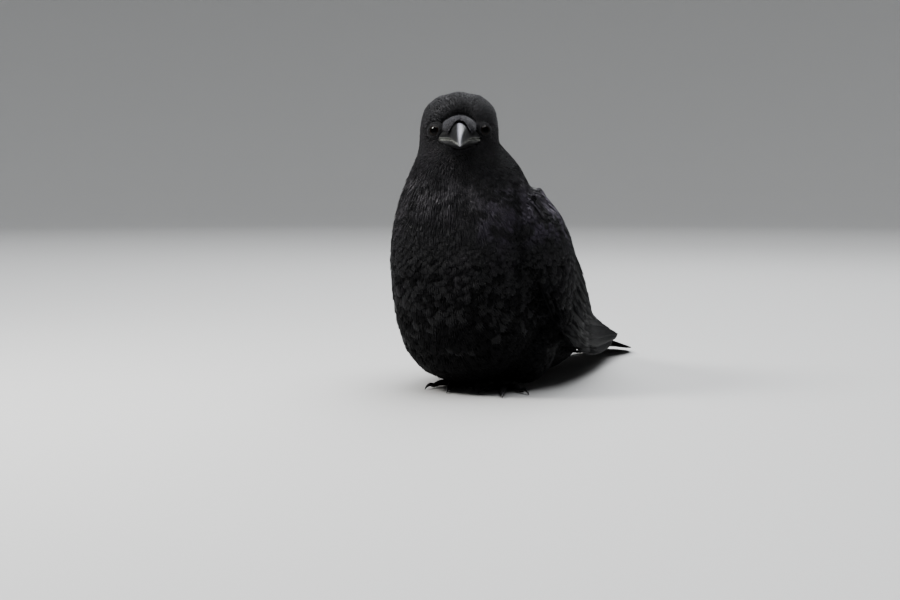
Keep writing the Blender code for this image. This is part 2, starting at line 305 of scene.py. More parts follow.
def plumage_finish(name, dark, light, painted_sheen, gloss, barb, shaft, specular=0.24, sheen=0.02):
    """Black feathers: slanting barbs, a faint shaft, and each feather's own tone."""
    finish = Finish(
        name,
        Sheen_Weight=sheen,
        Sheen_Roughness=0.35,
        Sheen_Tint=(0.72, 0.7, 0.85, 1),
        Specular_IOR_Level=specular,
    )
    vane = finish.node("ShaderNodeUVMap", uv_map="vane")
    split = finish.node("ShaderNodeSeparateXYZ", {0: vane})
    across, along = split.part("X"), split.part("Y")
    tone = finish.node("ShaderNodeAttribute", attribute_name="tone").part("Fac")
    broad = finish.noise(finish.place(), 45.0, 2.0)
    ragged = finish.noise(vane, 0.9, 2.0, 0.6)
    barbs = ((along - across.size() * 1.2 + ragged * 1.6) * (2 * math.pi / barb)).sine()
    ridge = 1 - across.size().between(0.0, 0.45)
    height = finish.node("ShaderNodeSeparateXYZ", {0: finish.place()}).part("Z")
    # Painted shade: the plumage's colour darkens from the top of the bird towards the belly, as if lit from
    # above.
    lit = height.between(0.045, 0.185) * 0.88 + 0.12
    shade = (tone * 0.6 + broad * 0.75 + barbs * 0.05 - 0.2).between(0.0, 1.0) * lit
    colour = finish.mix(shade, dark, light)
    # Painted sheen: a violet-blue gloss mixed into the colour in cloudy patches, strongest on the upper, lit
    # parts.
    colour = finish.mix((broad - 0.42).between(0.0, 0.3) * tone * lit * 0.6, colour, painted_sheen)
    colour = with_painted_highlights(finish, colour)
    rough = tone * 0.14 + ragged * 0.14 + gloss
    relief = finish.bump(barbs * 0.3 + ragged * 0.7 + ridge * shaft, 0.00012, 0.55)
    return finish.give(Base_Color=colour, Roughness=rough, Normal=relief)


CONTOUR = plumage_finish(
    "black_plumage", (0.0035, 0.0035, 0.004), (0.0165, 0.016, 0.0178), (0.024, 0.018, 0.026), 0.4, 0.8, 0.4
)
# Painted shade: a darker, duller copy of the body plumage for the feathers low on the bird.
SHADED_BELLY = plumage_finish(
    "belly_plumage", (0.003, 0.003, 0.0034), (0.0145, 0.014, 0.0155), (0.02, 0.0155, 0.022), 0.44, 0.8, 0.3,
    0.1, 0.0,
)
FACE = plumage_finish(
    "face_plumage", (0.006, 0.006, 0.0065), (0.0155, 0.015, 0.0165), (0.02, 0.0165, 0.0195), 0.4, 0.5, 0.2,
    0.26, 0.04,
)
# The hackles' paler colour stands for their gloss: painted sheen, besides their higher specular.
HACKLES = plumage_finish(
    "throat_hackles", (0.006, 0.006, 0.0068), (0.026, 0.0245, 0.029), (0.032, 0.026, 0.032), 0.3, 0.6, 0.8,
    0.36,
)
# The bristles' paler grey-lavender colour stands for the tuft's gloss: painted sheen.
BRISTLES = plumage_finish(
    "nasal_bristles", (0.008, 0.008, 0.0092), (0.03, 0.029, 0.035), (0.026, 0.023, 0.031), 0.36, 0.6, 0.8, 0.3
)
FLIGHT = plumage_finish(
    "glossy_flight_feathers", (0.0024, 0.0024, 0.003), (0.0082, 0.008, 0.01), (0.011, 0.0088, 0.0175),
    0.42, 0.9, 0.0, 0.1, 0.0,
)


def skin_finish():
    finish = Finish("feather_ground", Specular_IOR_Level=0.1)
    where = finish.place()
    # Dark skin, kept near black as painted shade for the parting behind the bristles and the gaps between
    # feathers.
    colour = finish.mix(finish.noise(where, 160.0), (0.0015, 0.0015, 0.0018), (0.004, 0.004, 0.0045))
    # The plumage's painted highlights and sheen lie on the skin too.
    colour = with_painted_highlights(finish, colour)
    rough = finish.noise(where, 300.0) * 0.2 + 0.7
    return finish.give(Base_Color=colour, Roughness=rough)


def bill_finish():
    """Black horn with fine growth lines, paler along its cutting edges, with a painted highlight along its
    ridge and towards its tip.
    """
    finish = Finish("bill_horn", Specular_IOR_Level=0.45)
    where = finish.place()
    offset = finish.node("ShaderNodeVectorMath", {0: where, 1: tuple(GAPE)}, operation="SUBTRACT")

    def along(axis):
        inputs = {0: offset, 1: tuple(axis)}
        return finish.node("ShaderNodeVectorMath", inputs, operation="DOT_PRODUCT").part("Value") * 1000

    side, ahead, up = along(HEAD_SIDE), along(HEAD_AHEAD), along(UP)
    share = ahead * (1 / BILL_LENGTH)
    line = share * share * share * -5.6 - ahead * 0.035
    worn = finish.noise(where, 240.0, 4.0, 0.65)
    fine = finish.noise(where, 1100.0, 3.0, 0.6)
    edge = 1 - (up - line + (worn - 0.5) * 2.4).size().between(0.3, 1.6)
    edge = edge * (0.35 + finish.noise(where, 420.0, 3.0, 0.6).between(0.4, 0.62) * 0.65)
    edge = edge * (1 - share.between(0.9, 1.0) * 0.7)
    # Painted highlight: a pale band along the top ridge of the bill.
    ridge = (1 - side.size().between(0.3, 2.8)) * (up - line).between(1.5, 6.0)
    base = finish.mix(worn.between(0.4, 0.75), (0.005, 0.005, 0.0055), (0.02, 0.021, 0.0205))
    colour = finish.mix(edge * 0.85, base, (0.23, 0.235, 0.215))
    colour = finish.mix(ridge * 0.85, colour, (0.2, 0.2, 0.23))
    # Painted highlight: the bill paler towards its tip.
    colour = finish.mix(share.between(0.8, 0.97) * 0.8, colour, (0.2, 0.2, 0.215))
    rough = worn * 0.2 + fine * 0.12 + 0.2 + share.between(0.8, 1.0) * 0.15
    return finish.give(Base_Color=colour, Roughness=rough, Normal=finish.bump(fine, 0.0001, 0.3))


def leg_finish(name, dark, light, gloss):
    finish = Finish(name, Specular_IOR_Level=0.45)
    where = finish.place()
    worn = finish.noise(where, 260.0, 4.0, 0.6)
    colour = finish.mix(worn.between(0.35, 0.75), dark, light)
    relief = finish.bump(finish.noise(where, 1500.0, 2.0), 0.00008, 0.5)
    return finish.give(Base_Color=colour, Roughness=worn * 0.25 + gloss, Normal=relief)


SKIN = skin_finish()
HORN = bill_finish()
SCALES = leg_finish("leg_scales", (0.009, 0.009, 0.010), (0.03, 0.029, 0.03), 0.3)
CLAW = leg_finish("claw_horn", (0.007, 0.007, 0.008), (0.022, 0.021, 0.022), 0.16)
LID = leg_finish("bare_lid", (0.002, 0.002, 0.0022), (0.005, 0.005, 0.0052), 0.6)

# ---------------------------------------------------------------- skin

GROW = 1.6  # mm, swelling that joins neighbouring solids before the skin is drawn over them
BRIDGE = 6.0  # mm, the same for the guide, whose feathers bridge the creases beside the wings
VOXEL = 1.6
FLESH = ("trunk", "neck", "head", "thigh_left", "thigh_right")
WINGS = ("wing_left", "wing_right")


def bird_coordinates(points):
    """Millimetres to the left, forward and up from the stance."""
    offsets = (np.asarray(points) - np.array(STANCE)) / MM
    return offsets * np.array((1.0, -1.0, 1.0))


def head_coordinates(points):
    """Millimetres to the left, ahead and up from the middle of the gape."""
    offsets = (np.asarray(points) - np.array(GAPE)) / MM
    axes = np.array((HEAD_SIDE, HEAD_AHEAD, UP))
    return offsets @ axes.T


def from_gape(points):
    return np.linalg.norm(head_coordinates(points), axis=-1)


def from_tuft(points):
    """0 on the middle line of the bill, 1 at the edge of the tuft that covers its base."""
    side, ahead, up = np.moveaxis(head_coordinates(points), -1, 0)
    return np.hypot(side / 13.0, (up - 3) / 15.5) + 10.0 * ((ahead < -9) | (up < 0))


def coat_depth(points):
    """Depth of the plumage in millimetres: thin on the face, deepest on the belly."""
    distance = from_gape(points)
    depth = np.interp(distance, (14, 24, 45, 75, 120, 190), (0.7, 0.9, 1.3, 2.2, 3.0, 3.4))
    forward = bird_coordinates(points)[..., 1]
    parting = 1.5 * np.exp(-(((from_tuft(points) - 1.07) / 0.13) ** 2))
    return depth + parting - 1.1 * smooth_step(-60, -150, forward)


def surface_of(*nodes):
    verts, faces = [], []
    for node in nodes:
        base = len(verts)
        verts += [tuple(vertex.co) for vertex in NODES[node].data.vertices]
        faces += [[base + i for i in face.vertices] for face in NODES[node].data.polygons]
    return BVHTree.FromPolygons(verts, faces)


FLESH_SURFACE = surface_of(*FLESH)
WING_SURFACES = {node: surface_of(node) for node in WINGS}
BARE_SURFACE = surface_of("bill_upper", "bill_lower", "eye_left", "eye_right")
FACE_SURFACE = surface_of("head", "bill_upper", "bill_lower")


def coordinates(mesh):
    flat = np.empty(len(mesh.vertices) * 3)
    mesh.vertices.foreach_get("co", flat)
    return flat.reshape(-1, 3)


def moved_out(obj, distances):
    """Moves the surface out by its own distance in millimetres at each vertex, or in if negative."""
    furthest = float(np.abs(distances).max())
    group = obj.vertex_groups.new(name="distance")
    for index, distance in enumerate(distances):
        group.add([index], abs(float(distance)) / furthest, "REPLACE")
    strength = math.copysign(furthest, float(distances.sum())) * MM
    modified(obj, "DISPLACE", strength=strength, mid_level=0, vertex_group="distance")
    obj.vertex_groups.clear()
    return obj


def crown_fullness(points):
    """How far the plumage stands out on the crown and at its two corners, in millimetres."""
    side, ahead, up = head_coordinates(points).T
    corner = smooth_step(6, 17, np.abs(side)) * smooth_step(14, 27, up) * smooth_step(-60, -30, ahead)
    middle = smooth_step(13, 2, np.abs(side)) * smooth_step(22, 30, up) * smooth_step(-60, -30, ahead)
    return np.where(side > 0, 2.0, 1.3) * corner + 1.5 * middle


def plain_swelling(points):
    return np.full(len(points), GROW)


def bridging(points):
    """The guide's swelling: little on the face, enough to close the creases of the body."""
    return np.interp(from_gape(points), (55, 100), (GROW, BRIDGE))


def drawn_over(name, swelling, *nodes):
    """One closed surface over several solids, still proud of them by the swelling."""
    obj = merged_copy(name, *nodes)
    moved_out(obj, swelling(coordinates(obj.data)))
    modified(obj, "REMESH", mode="VOXEL", voxel_size=VOXEL * MM, adaptivity=0)
    modified(obj, "SMOOTH", factor=0.5, iterations=8)
    return obj


def make_skin():
    solids = (*FLESH, "bill_upper", "bill_lower", "eye_left", "eye_right")
    skin = drawn_over("skin", plain_swelling, *solids)
    points = coordinates(skin.data)
    moved_out(skin, -(coat_depth(points) + GROW + 0.15))
    modified(skin, "SMOOTH", factor=0.5, iterations=3)
    edit(skin, "FACE")
    bpy.ops.mesh.select_all(action="SELECT")
    bpy.ops.mesh.bisect(
        plane_co=GAPE + HEAD_AHEAD * 30 * MM, plane_no=HEAD_AHEAD, clear_outer=True, use_fill=True
    )
    done()
    take(skin)
    bpy.ops.object.shade_smooth()
    return dress(skin, SKIN, "black_plumage", *FLESH)


def make_guide():
    """The surface that the plumage lies on, over body and folded wings together."""
    solids = (*FLESH, *WINGS, "bill_upper", "bill_lower", "eye_left", "eye_right")
    guide = drawn_over("guide", bridging, *solids)
    points = coordinates(guide.data)
    depths = coat_depth(points)
    for i, point in enumerate(points):
        on_flesh = FLESH_SURFACE.find_nearest(point)[3]
        on_wing = min(tree.find_nearest(point)[3] for tree in WING_SURFACES.values())
        if on_wing < on_flesh:
            depths[i] = min(depths[i], 1.1)
    moved_out(guide, -(depths + bridging(points) - crown_fullness(points)))
    modified(guide, "SMOOTH", factor=0.5, iterations=4)
    return guide


def tree_of(obj):
    faces = [tuple(face.vertices) for face in obj.data.polygons]
    return BVHTree.FromPolygons([tuple(p) for p in coordinates(obj.data)], faces)


make_skin()
guide = make_guide()
GUIDE = tree_of(guide)

# ---------------------------------------------------------------- single feathers


def feather(name, across, widths, thick, ragged, shaft=0.0, bulge=0.0):
    """One feather, a unit long and two wide before its outline: a closed lens, root at 0."""
    deselect()
    along = len(widths) - 1
    bpy.ops.mesh.primitive_grid_add(
        x_subdivisions=across, y_subdivisions=along, size=1, location=(0, 0.5, 0)
    )
    obj = named(name)
    take(obj)
    bpy.ops.object.transform_apply(location=True)
    edit(obj)
    for i, width in enumerate(widths):
        pick(obj, lambda co: abs(co.y - i / along) < 1e-4)
        bpy.ops.transform.resize(value=(2 * width, 1, 1), center_override=(0, i / along, 0))
    bpy.ops.mesh.select_all(action="SELECT")
    bpy.ops.mesh.duplicate()
    bpy.ops.mesh.flip_normals()
    done()
    mesh = obj.data
    half = len(mesh.vertices) // 2
    own = np.random.default_rng(sum(map(ord, name)))
    shake = own.normal(0, 1, (half, 2))
    for i in range(half):
        row, column = divmod(i, across + 1)
        edge = row in (0, along) or column in (0, across)
        ridge = 1 - (2 * column / across - 1) ** 2
        for index, side in ((i, 1.0), (i + half, -0.5)):
            vertex = mesh.vertices[index].co
            if edge:
                if row > along * 0.45:
                    vertex.x *= 1 + ragged * shake[i, 0]
                    vertex.y += ragged * shake[i, 1] * 0.35
                if row == along:
                    vertex.y += -0.35 * ragged + 0.5 * ragged * (column % 2)
                vertex.z = 0
            else:
                vertex.z = side * thick * (0.35 + 0.65 * ridge)
                if shaft and abs(2 * column - across) <= 1:
                    vertex.x *= 0.35
                    vertex.z += max(side, 0) * shaft * (1 - row / along)
    for vertex in mesh.vertices:
        vertex.co.y = 1 - (1 - vertex.co.y) * abs(1 - vertex.co.y) ** 0.25
        vertex.co.y -= bulge * vertex.co.x**2 * max(vertex.co.y, 0) ** 3
    edit(obj)
    bpy.ops.mesh.select_all(action="SELECT")
    bpy.ops.mesh.remove_doubles(threshold=1e-5)
    bpy.ops.mesh.normals_make_consistent(inside=False)
    done()
    return obj


def template(obj):
    """A modelled feather's numbers, then the model itself is put away."""
    mesh = obj.data
    points = coordinates(mesh)
    starts = np.cumsum([0] + [face.loop_total for face in mesh.polygons])
    loops = np.array([i for face in mesh.polygons for i in face.vertices])
    bpy.data.objects.remove(obj)
    return {"points": points, "loops": loops, "starts": starts}


ROUND = (0.3, 0.56, 0.76, 0.88, 0.92, 0.8, 0.46)
BROAD = (0.35, 0.62, 0.82, 0.95, 0.98, 0.86, 0.5)
LANCE = (0.4, 0.7, 0.8, 0.66, 0.4, 0.08)
SCALE = (0.5, 0.8, 0.95, 0.88, 0.42)
HAIR = (0.9, 0.75, 0.1)
FLIGHT_OUTLINE = (0.28, 0.6, 0.8, 0.9, 0.95, 0.98, 1.0, 1.0, 0.99, 0.97, 0.93, 0.88, 0.8, 0.66, 0.34)

TEMPLATES = {
    "face": template(feather("face_feather", 2, SCALE, 0.04, 0.03, bulge=0.25)),
    "head": template(feather("head_feather", 2, SCALE, 0.06, 0.06, bulge=0.25)),
    "hackle": template(feather("throat_hackle", 2, LANCE, 0.16, 0.04)),
    "bristle": template(feather("nasal_bristle", 2, LANCE, 0.2, 0.03)),
    "strand": template(feather("strand", 2, HAIR, 0.07, 0.0)),
    "body_a": template(feather("body_feather_a", 4, BROAD, 0.12, 0.05, bulge=0.2)),
    "body_b": template(feather("body_feather_b", 4, ROUND, 0.12, 0.08, bulge=0.15)),
    "body_c": template(feather("body_feather_c", 4, BROAD, 0.12, 0.11, bulge=0.15)),
    "covert": template(feather("covert", 4, BROAD, 0.13, 0.05, 0.06, bulge=0.2)),
    "flight": template(feather("flight_feather", 5, FLIGHT_OUTLINE, 0.3, 0.012, 0.35, bulge=0.05)),
}

# ---------------------------------------------------------------- laying feathers


def lie_of(point):
    """The way the plumage lies at a place: back from the bill, down the neck, towards the tail."""
    ahead_side, ahead, up = head_coordinates(point)
    height = (point[2]) / MM
    down = np.interp(height, (15, 60, 110, 150, 185), (0.10, 0.5, 0.78, 0.93, 0.96))
    body = Vector((0, math.sqrt(1 - down * down), -down))
    from_base = HEAD_SIDE * ahead_side + HEAD_AHEAD * (ahead + 3.0) + UP * (up - 3.0)
    if up < -4:
        from_base = HEAD_SIDE * ahead_side * 0.6 + HEAD_AHEAD * (ahead - 16.0) + UP * up * 0.8
    reach = from_base.length
    on_head = smooth_step(78, 30, reach) * smooth_step(168, 190, height)
    way = from_base.normalized() * on_head + body * (1 - on_head)
    if ahead > -3 and up > 0:
        way = way + HEAD_AHEAD * 1.6 * float(smooth_step(-3, 5, ahead))
    swirl = noise.noise_vector(Vector(point) * 38.0)
    return (way + swirl * 0.16).normalized()


def along_surface(tree, root, way, length, steps, lie=None):
    """Points and normals of a feather's spine laid over a surface, free where it falls away."""
    spot, normal, _, _ = tree.find_nearest(root)
    points, normals = [spot], [normal]
    way = (way - normal * way.dot(normal)).normalized()
    for _ in range(steps):
        step = length / steps
        ahead = spot + way * step
        nearest, under, _, gap = tree.find_nearest(ahead)
        fall = nearest - ahead
        limit = step * 0.34
        if fall.length > limit:
            fall = fall.normalized() * limit
            under = (normals[-1] * 2 + under).normalized()
        following = ahead + fall
        way = (following - spot).normalized()
        if lie is not None and gap < step * 0.5:
            wish = lie(following)
            wish = wish - under * wish.dot(under)
            if wish.length > 0.15:
                way = (way * 0.75 + wish.normalized() * 0.25).normalized()
        under = (under - way * under.dot(way)).normalized()
        spot = following
        points.append(spot)
        normals.append(under)
    return points, normals


def side_falls(tree, points, normals, half_width):
    """How far the surface falls away on each side of a spine, for each point of it."""
    falls = []
    for i, (spot, normal) in enumerate(zip(points, normals)):
        ahead = points[min(i + 1, len(points) - 1)] - points[max(i - 1, 0)]
        across = ahead.cross(normal).normalized()
        pair = []
        for way in (-1, 1):
            reach = spot + across * way * half_width * 0.8
            nearest = tree.find_nearest(reach)[0]
            fall = (nearest - reach).dot(normal)
            pair.append(min(max(fall, -0.55 * half_width), 0.3 * half_width))
        falls.append(pair)
    return falls


class Plume:
    """Feathers of one shape, gathered before they are built as one mesh."""

    def __init__(self, shape):
        self.shape = shape
        self.rows = []

    def lay(self, tree, root, way, length, width, lift, tone, steps=5, lie=None, flat=False, roll=0.0):
        points, normals = along_surface(tree, root, way, length, steps, lie)
        self.lay_on(tree, points, normals, width, lift, tone, flat, roll)

    def lay_on(self, tree, points, normals, width, lift, tone, flat=False, roll=0.0):
        if flat:
            falls = [(0.0, 0.0)] * len(points)
        else:
            falls = side_falls(tree, points, normals, width / 2)
        self.rows.append((points, normals, falls, width, lift, tone, roll))

    def built(self):
        """Vertices, UV patches and tones of every feather, worked out together."""
        unit = TEMPLATES[self.shape]["points"]
        points = np.array([row[0] for row in self.rows])
        normals = np.array([row[1] for row in self.rows])
        falls = np.array([row[2] for row in self.rows])
        width = np.array([row[3] for row in self.rows])
        lifts = np.array([row[4] for row in self.rows]) * MM
        tones = np.array([row[5] for row in self.rows])
        rolls = np.array([row[6] for row in self.rows])
        steps = points.shape[1] - 1
        ahead = np.gradient(points, axis=1)
        ahead /= np.linalg.norm(ahead, axis=2, keepdims=True)
        across = np.cross(ahead, normals)
        across /= np.linalg.norm(across, axis=2, keepdims=True)
        place_on = unit[:, 1] * steps
        low = np.clip(np.floor(place_on).astype(int), 0, steps - 1)
        share = (place_on - low)[None, :, None]

        def between(values):
            return values[:, low] * (1 - share) + values[:, low + 1] * share

        spot, over, side = between(points), between(normals), between(across)
        fall = between(falls)
        u, v, h = unit[:, 0], unit[:, 1], unit[:, 2]
        reach = u[None, :] * width[:, None] / 2
        fall = np.where(u[None, :] < 0, fall[..., 0], fall[..., 1]) * (u / 0.8)[None, :] ** 2
        tip = np.clip(v, 0, 1.1)[None, :]
        lift = lifts[:, :1] * (1 - tip) + lifts[:, 1:] * tip**1.15
        height = lift + fall + h[None, :] * MM + reach * rolls[:, None]
        made = spot + side * reach[..., None] + over * height[..., None]
        made[..., 2] = np.maximum(made[..., 2], 0.3 * MM)
        length = np.linalg.norm(np.diff(points, axis=1), axis=2).sum(axis=1)
        vane = np.stack((reach / MM, v[None, :] * length[:, None] / MM), axis=-1)
        roots = unwrapped(points[:, 0])
        patch = np.stack((u * 0.0015, (v - 0.5) * 0.003), axis=-1)
        return made, vane, roots[:, None, :] + patch[None], tones


def unwrapped(points):
    """The skin's own unwrap: round the bird against the way from bill to tail."""
    side, forward, up = bird_coordinates(points).T
    along = (up - 0.62 * forward) / 1.177
    middle_forward = np.interp(along, (-40, 40, 130, 230), (-60, -20, 20, 40))
    middle_up = np.interp(along, (-40, 40, 130, 230), (30, 70, 140, 210))
    out = (forward - middle_forward) * 0.85 + (up - middle_up) * 0.53
    round_it = np.arctan2(side, out) / (2 * math.pi) + 0.5
    return np.stack((0.01 + 0.98 * round_it, 0.02 + 0.96 * np.clip((along + 90) / 370, 0, 1)), axis=-1)


def build_coat(name, plumes, material, slot, *replaced):
    """One mesh of all the feathers in some plumes, with their vane and bake maps."""
    verts, loops, sizes, vanes, patches, tones = [], [], [], [], [], []
    base = 0
    for plume in plumes:
        if not plume.rows:
            continue
        shape = TEMPLATES[plume.shape]
        made, vane, patch, tone = plume.built()
        count, each = made.shape[:2]
        verts.append(made.reshape(-1, 3))
        corner = shape["loops"]
        starts = np.arange(count)[:, None] * each + base
        loops.append((corner[None, :] + starts).ravel())
        sizes.append(np.tile(np.diff(shape["starts"]), count))
        vanes.append(vane[:, corner].reshape(-1, 2))
        patches.append(patch[:, corner].reshape(-1, 2))
        tones.append(np.repeat(tone, each))
        base += count * each
    verts, loops, sizes = np.concatenate(verts), np.concatenate(loops), np.concatenate(sizes)
    mesh = bpy.data.meshes.new(name)
    mesh.vertices.add(len(verts))
    mesh.vertices.foreach_set("co", verts.ravel())
    mesh.loops.add(len(loops))
    mesh.loops.foreach_set("vertex_index", loops)
    mesh.polygons.add(len(sizes))
    mesh.polygons.foreach_set("loop_start", np.cumsum(np.r_[0, sizes[:-1]]))
    mesh.polygons.foreach_set("loop_total", sizes)
    mesh.update(calc_edges=True)
    for label, values in (("OFBake", patches), ("vane", vanes)):
        layer = mesh.uv_layers.new(name=label)
        layer.data.foreach_set("uv", np.concatenate(values).ravel())
    mesh.uv_layers.active = mesh.uv_layers["OFBake"]
    layer = mesh.attributes.new("tone", "FLOAT", "POINT")
    layer.data.foreach_set("value", np.concatenate(tones))
    mesh.shade_smooth()
    obj = bpy.data.objects.new(name, mesh)
    bpy.context.scene.collection.objects.link(obj)
    return dress(obj, material, slot, *replaced)


# ---------------------------------------------------------------- the folded wings' faces

# Lower and upper edge of the folded wing (side, forward, up) and its bow, from shoulder to tip
WING_COLUMNS = np.array((
    (56, 34, 130, 46, 17, 159, 9),
    (64, 22, 98, 44, -9, 163, 18),
    (67, 8, 68, 38, -37, 157, 22),
    (67, -15, 44, 30, -67, 130, 20),
    (62, -55, 26, 20, -100, 101, 14),
    (54, -100, 17, 11, -138, 76, 11),
    (43, -148, 14, 6, -178, 52, 8),
    (32, -195, 15, 5, -214, 36, 5),
    (22, -240, 18, 12, -244, 21, 1),
), dtype=float)
WING_REACH = {"wing_left": 9, "wing_right": -3}
WING_WAY = {"wing_left": 1, "wing_right": -1}


def column_at(i):
    """The wing's edges and bow at a place between two columns, on a smooth curve."""
    last = len(WING_COLUMNS) - 1
    base = min(max(int(math.floor(i)), 0), last - 1)
    t = i - base
    rows = [WING_COLUMNS[min(max(base + k, 0), last)] for k in (-1, 0, 1, 2)]
    if t < 0 or t > 1:
        return rows[1] + (rows[2] - rows[1]) * t
    a, b, c, d = rows
    return 0.5 * (
        2 * b + (c - a) * t + (2 * a - 5 * b + 4 * c - d) * t**2 + (3 * b - a - 3 * c + d) * t**3
    )


def net_place(node, i, j):
    """A place on a folded wing's own net, and the way out of it there."""
    row = column_at(i)
    reach = WING_REACH[node] * max(1 - i / 5, 0)
    low = Vector((row[0], row[1] + reach, row[2]))
    high = Vector(row[3:6])
    out = (low - high).cross(Vector((0, -1, 0)))
    out = out.normalized() if out.x > 0 else -out.normalized()
    bow = min(max(j, 0), 1) * math.pi
    side, forward, up = low.lerp(high, j) + out * row[6] * math.sin(bow)
    slope = math.cos(bow) * row[6] * math.pi / max((high - low).length, 1)
    out = (out - (high - low).normalized() * slope).normalized()
    way = WING_WAY[node]
    return place(way * side, forward, up), Vector((way * out.x, -out.y, out.z))


RISE_ROWS = (0.15, 0.32, 0.5, 0.68, 0.85)
RISE_COLUMNS = np.arange(0, 8.1, 0.25)


def face_rises(node):
    """How far the wing's outer face stands off its net, in a grid of columns and rows."""
    rises = np.full((len(RISE_COLUMNS), len(RISE_ROWS)), np.nan)
    for a, i in enumerate(RISE_COLUMNS):
        for b, j in enumerate(RISE_ROWS):
            spot, out = net_place(node, i, j)
            hit = WING_SURFACES[node].ray_cast(spot + out * 12 * MM, -out, 22 * MM)[0]
            if hit is not None:
                rises[a, b] = (hit - spot).dot(out)
    for b in range(len(RISE_ROWS)):
        known = np.flatnonzero(~np.isnan(rises[:, b]))
        rises[:, b] = np.interp(RISE_COLUMNS, RISE_COLUMNS[known], rises[known, b])
    for _ in range(2):
        rises[1:-1] = (rises[:-2] + rises[1:-1] * 2 + rises[2:]) / 4
    return rises


RISES = {node: face_rises(node) for node in WINGS}


def wing_place(node, i, j):
    """A place on a folded wing's outer face, and the way out of it there."""
    spot, out = net_place(node, i, j)
    rows = [np.interp(i, RISE_COLUMNS, RISES[node][:, b]) for b in range(len(RISE_ROWS))]
    return spot + out * float(np.interp(j, RISE_ROWS, rows)), out


def wing_sheet(node):
    """The outer face as a smooth sheet that runs on a little past the wing's edges."""
    columns, rows = np.arange(-0.4, 8.7, 0.2), np.arange(-0.15, 1.16, 0.065)
    verts = [wing_place(node, i, j)[0] for i in columns for j in rows]
    faces = []
    for a in range(len(columns) - 1):
        for b in range(len(rows) - 1):
            corner = a * len(rows) + b
            faces.append((corner, corner + 1, corner + len(rows) + 1, corner + len(rows)))
    return BVHTree.FromPolygons(verts, faces)


WING_SHEETS = {node: wing_sheet(node) for node in WINGS}
UPPER_EDGES = np.array([wing_place(node, i, 1.0)[0] for node in WINGS for i in np.arange(0.2, 2.2, 0.1)])


def by_upper_edge(point, reach):
    """Whether a place is within some millimetres of a folded wing's upper edge."""
    return float(np.linalg.norm(UPPER_EDGES - np.array(point), axis=1).min()) < reach * MM

# ---------------------------------------------------------------- contour feathers


AREA_SHARE = {}


def scattered(obj, count):
    """Random places over a mesh, evenly by area."""
    mesh = obj.data
    mesh.calc_loop_triangles()
    corners = np.empty(len(mesh.loop_triangles) * 3, dtype=int)
    mesh.loop_triangles.foreach_get("vertices", corners)
    corners = coordinates(mesh)[corners.reshape(-1, 3)]
    areas = np.linalg.norm(
        np.cross(corners[:, 1] - corners[:, 0], corners[:, 2] - corners[:, 0]), axis=1
    )
    AREA_SHARE[obj.name] = areas.sum() / 2 / MM**2
    picked = rng.choice(len(areas), count, p=areas / areas.sum())
    a, b = np.sqrt(rng.random(count)), rng.random(count)
    shares = np.stack((1 - a, a * (1 - b), a * b), axis=1)
    return (corners[picked] * shares[..., None]).sum(axis=1)


def spaced(points, spacing):
    """Keeps the places that stand at least their own spacing from every earlier one."""
    grids, kept = {}, []
    levels = np.floor(np.log2(spacing)).astype(int)
    for index, (point, radius, level) in enumerate(zip(points.tolist(), spacing, levels)):
        free = True
        for other in (level - 1, level, level + 1):
            cell = 2.0 ** (other + 1)
            grid = grids.get(other)
            if grid is None:
                continue
            reach = max(1, math.ceil(radius / cell))
            cx, cy, cz = (int(c // cell) for c in point)
            for x in range(cx - reach, cx + reach + 1):
                for y in range(cy - reach, cy + reach + 1):
                    for z in range(cz - reach, cz + reach + 1):
                        for near in grid.get((x, y, z), ()):
                            if math.dist(near, point) < radius:
                                free = False
                                break
                        if not free:
                            break
                    if not free:
                        break
                if not free:
                    break
            if not free:
                break
        if free:
            cell = 2.0 ** (level + 1)
            key = tuple(int(c // cell) for c in point)
            grids.setdefault(level, {}).setdefault(key, []).append(point)
            kept.append(index)
    return kept


# Distance from the gape, then length, width and spacing of the feathers there, in mm
FEATHER_SIZES = (
    (12, 2.6, 1.5, 0.75),
    (22, 3.9, 2.2, 0.95),
    (36, 6.2, 3.1, 1.3),
    (55, 9.5, 4.7, 1.9),
    (80, 14.0, 7.2, 2.8),
    (110, 18.5, 10.5, 3.8),
    (150, 24.5, 14.0, 4.8),
    (230, 31.0, 16.5, 5.5),
)


def feather_size(points):
    table = np.array(FEATHER_SIZES, dtype=float)
    distance = from_gape(points)
    length, width, gap = (np.interp(distance, table[:, 0], table[:, i]) for i in (1, 2, 3))
    side, forward, up = bird_coordinates(points).T
    leg = smooth_step(40, 12, up) * smooth_step(-70, -40, forward)
    return length * (1 - 0.35 * leg), width * (1 - 0.35 * leg), gap * (1 - 0.25 * leg)


def bare_or_covered(point, normal):
    """Whether a place is bill or eye, flight feathers, or body hidden under a folded wing."""
    on_flesh = FLESH_SURFACE.find_nearest(point)[3]
    if BARE_SURFACE.find_nearest(point)[3] < on_flesh:
        return True
    on_wing = min(tree.find_nearest(point)[3] for tree in WING_SURFACES.values())
    if on_wing < on_flesh:
        _, forward, up = bird_coordinates(point)
        return forward < -10 - 0.32 * (up - 60) and not by_upper_edge(point, 9)
    hits = (tree.ray_cast(point, normal, 22 * MM)[0] for tree in WING_SURFACES.values())
    return any(hit is not None for hit in hits)


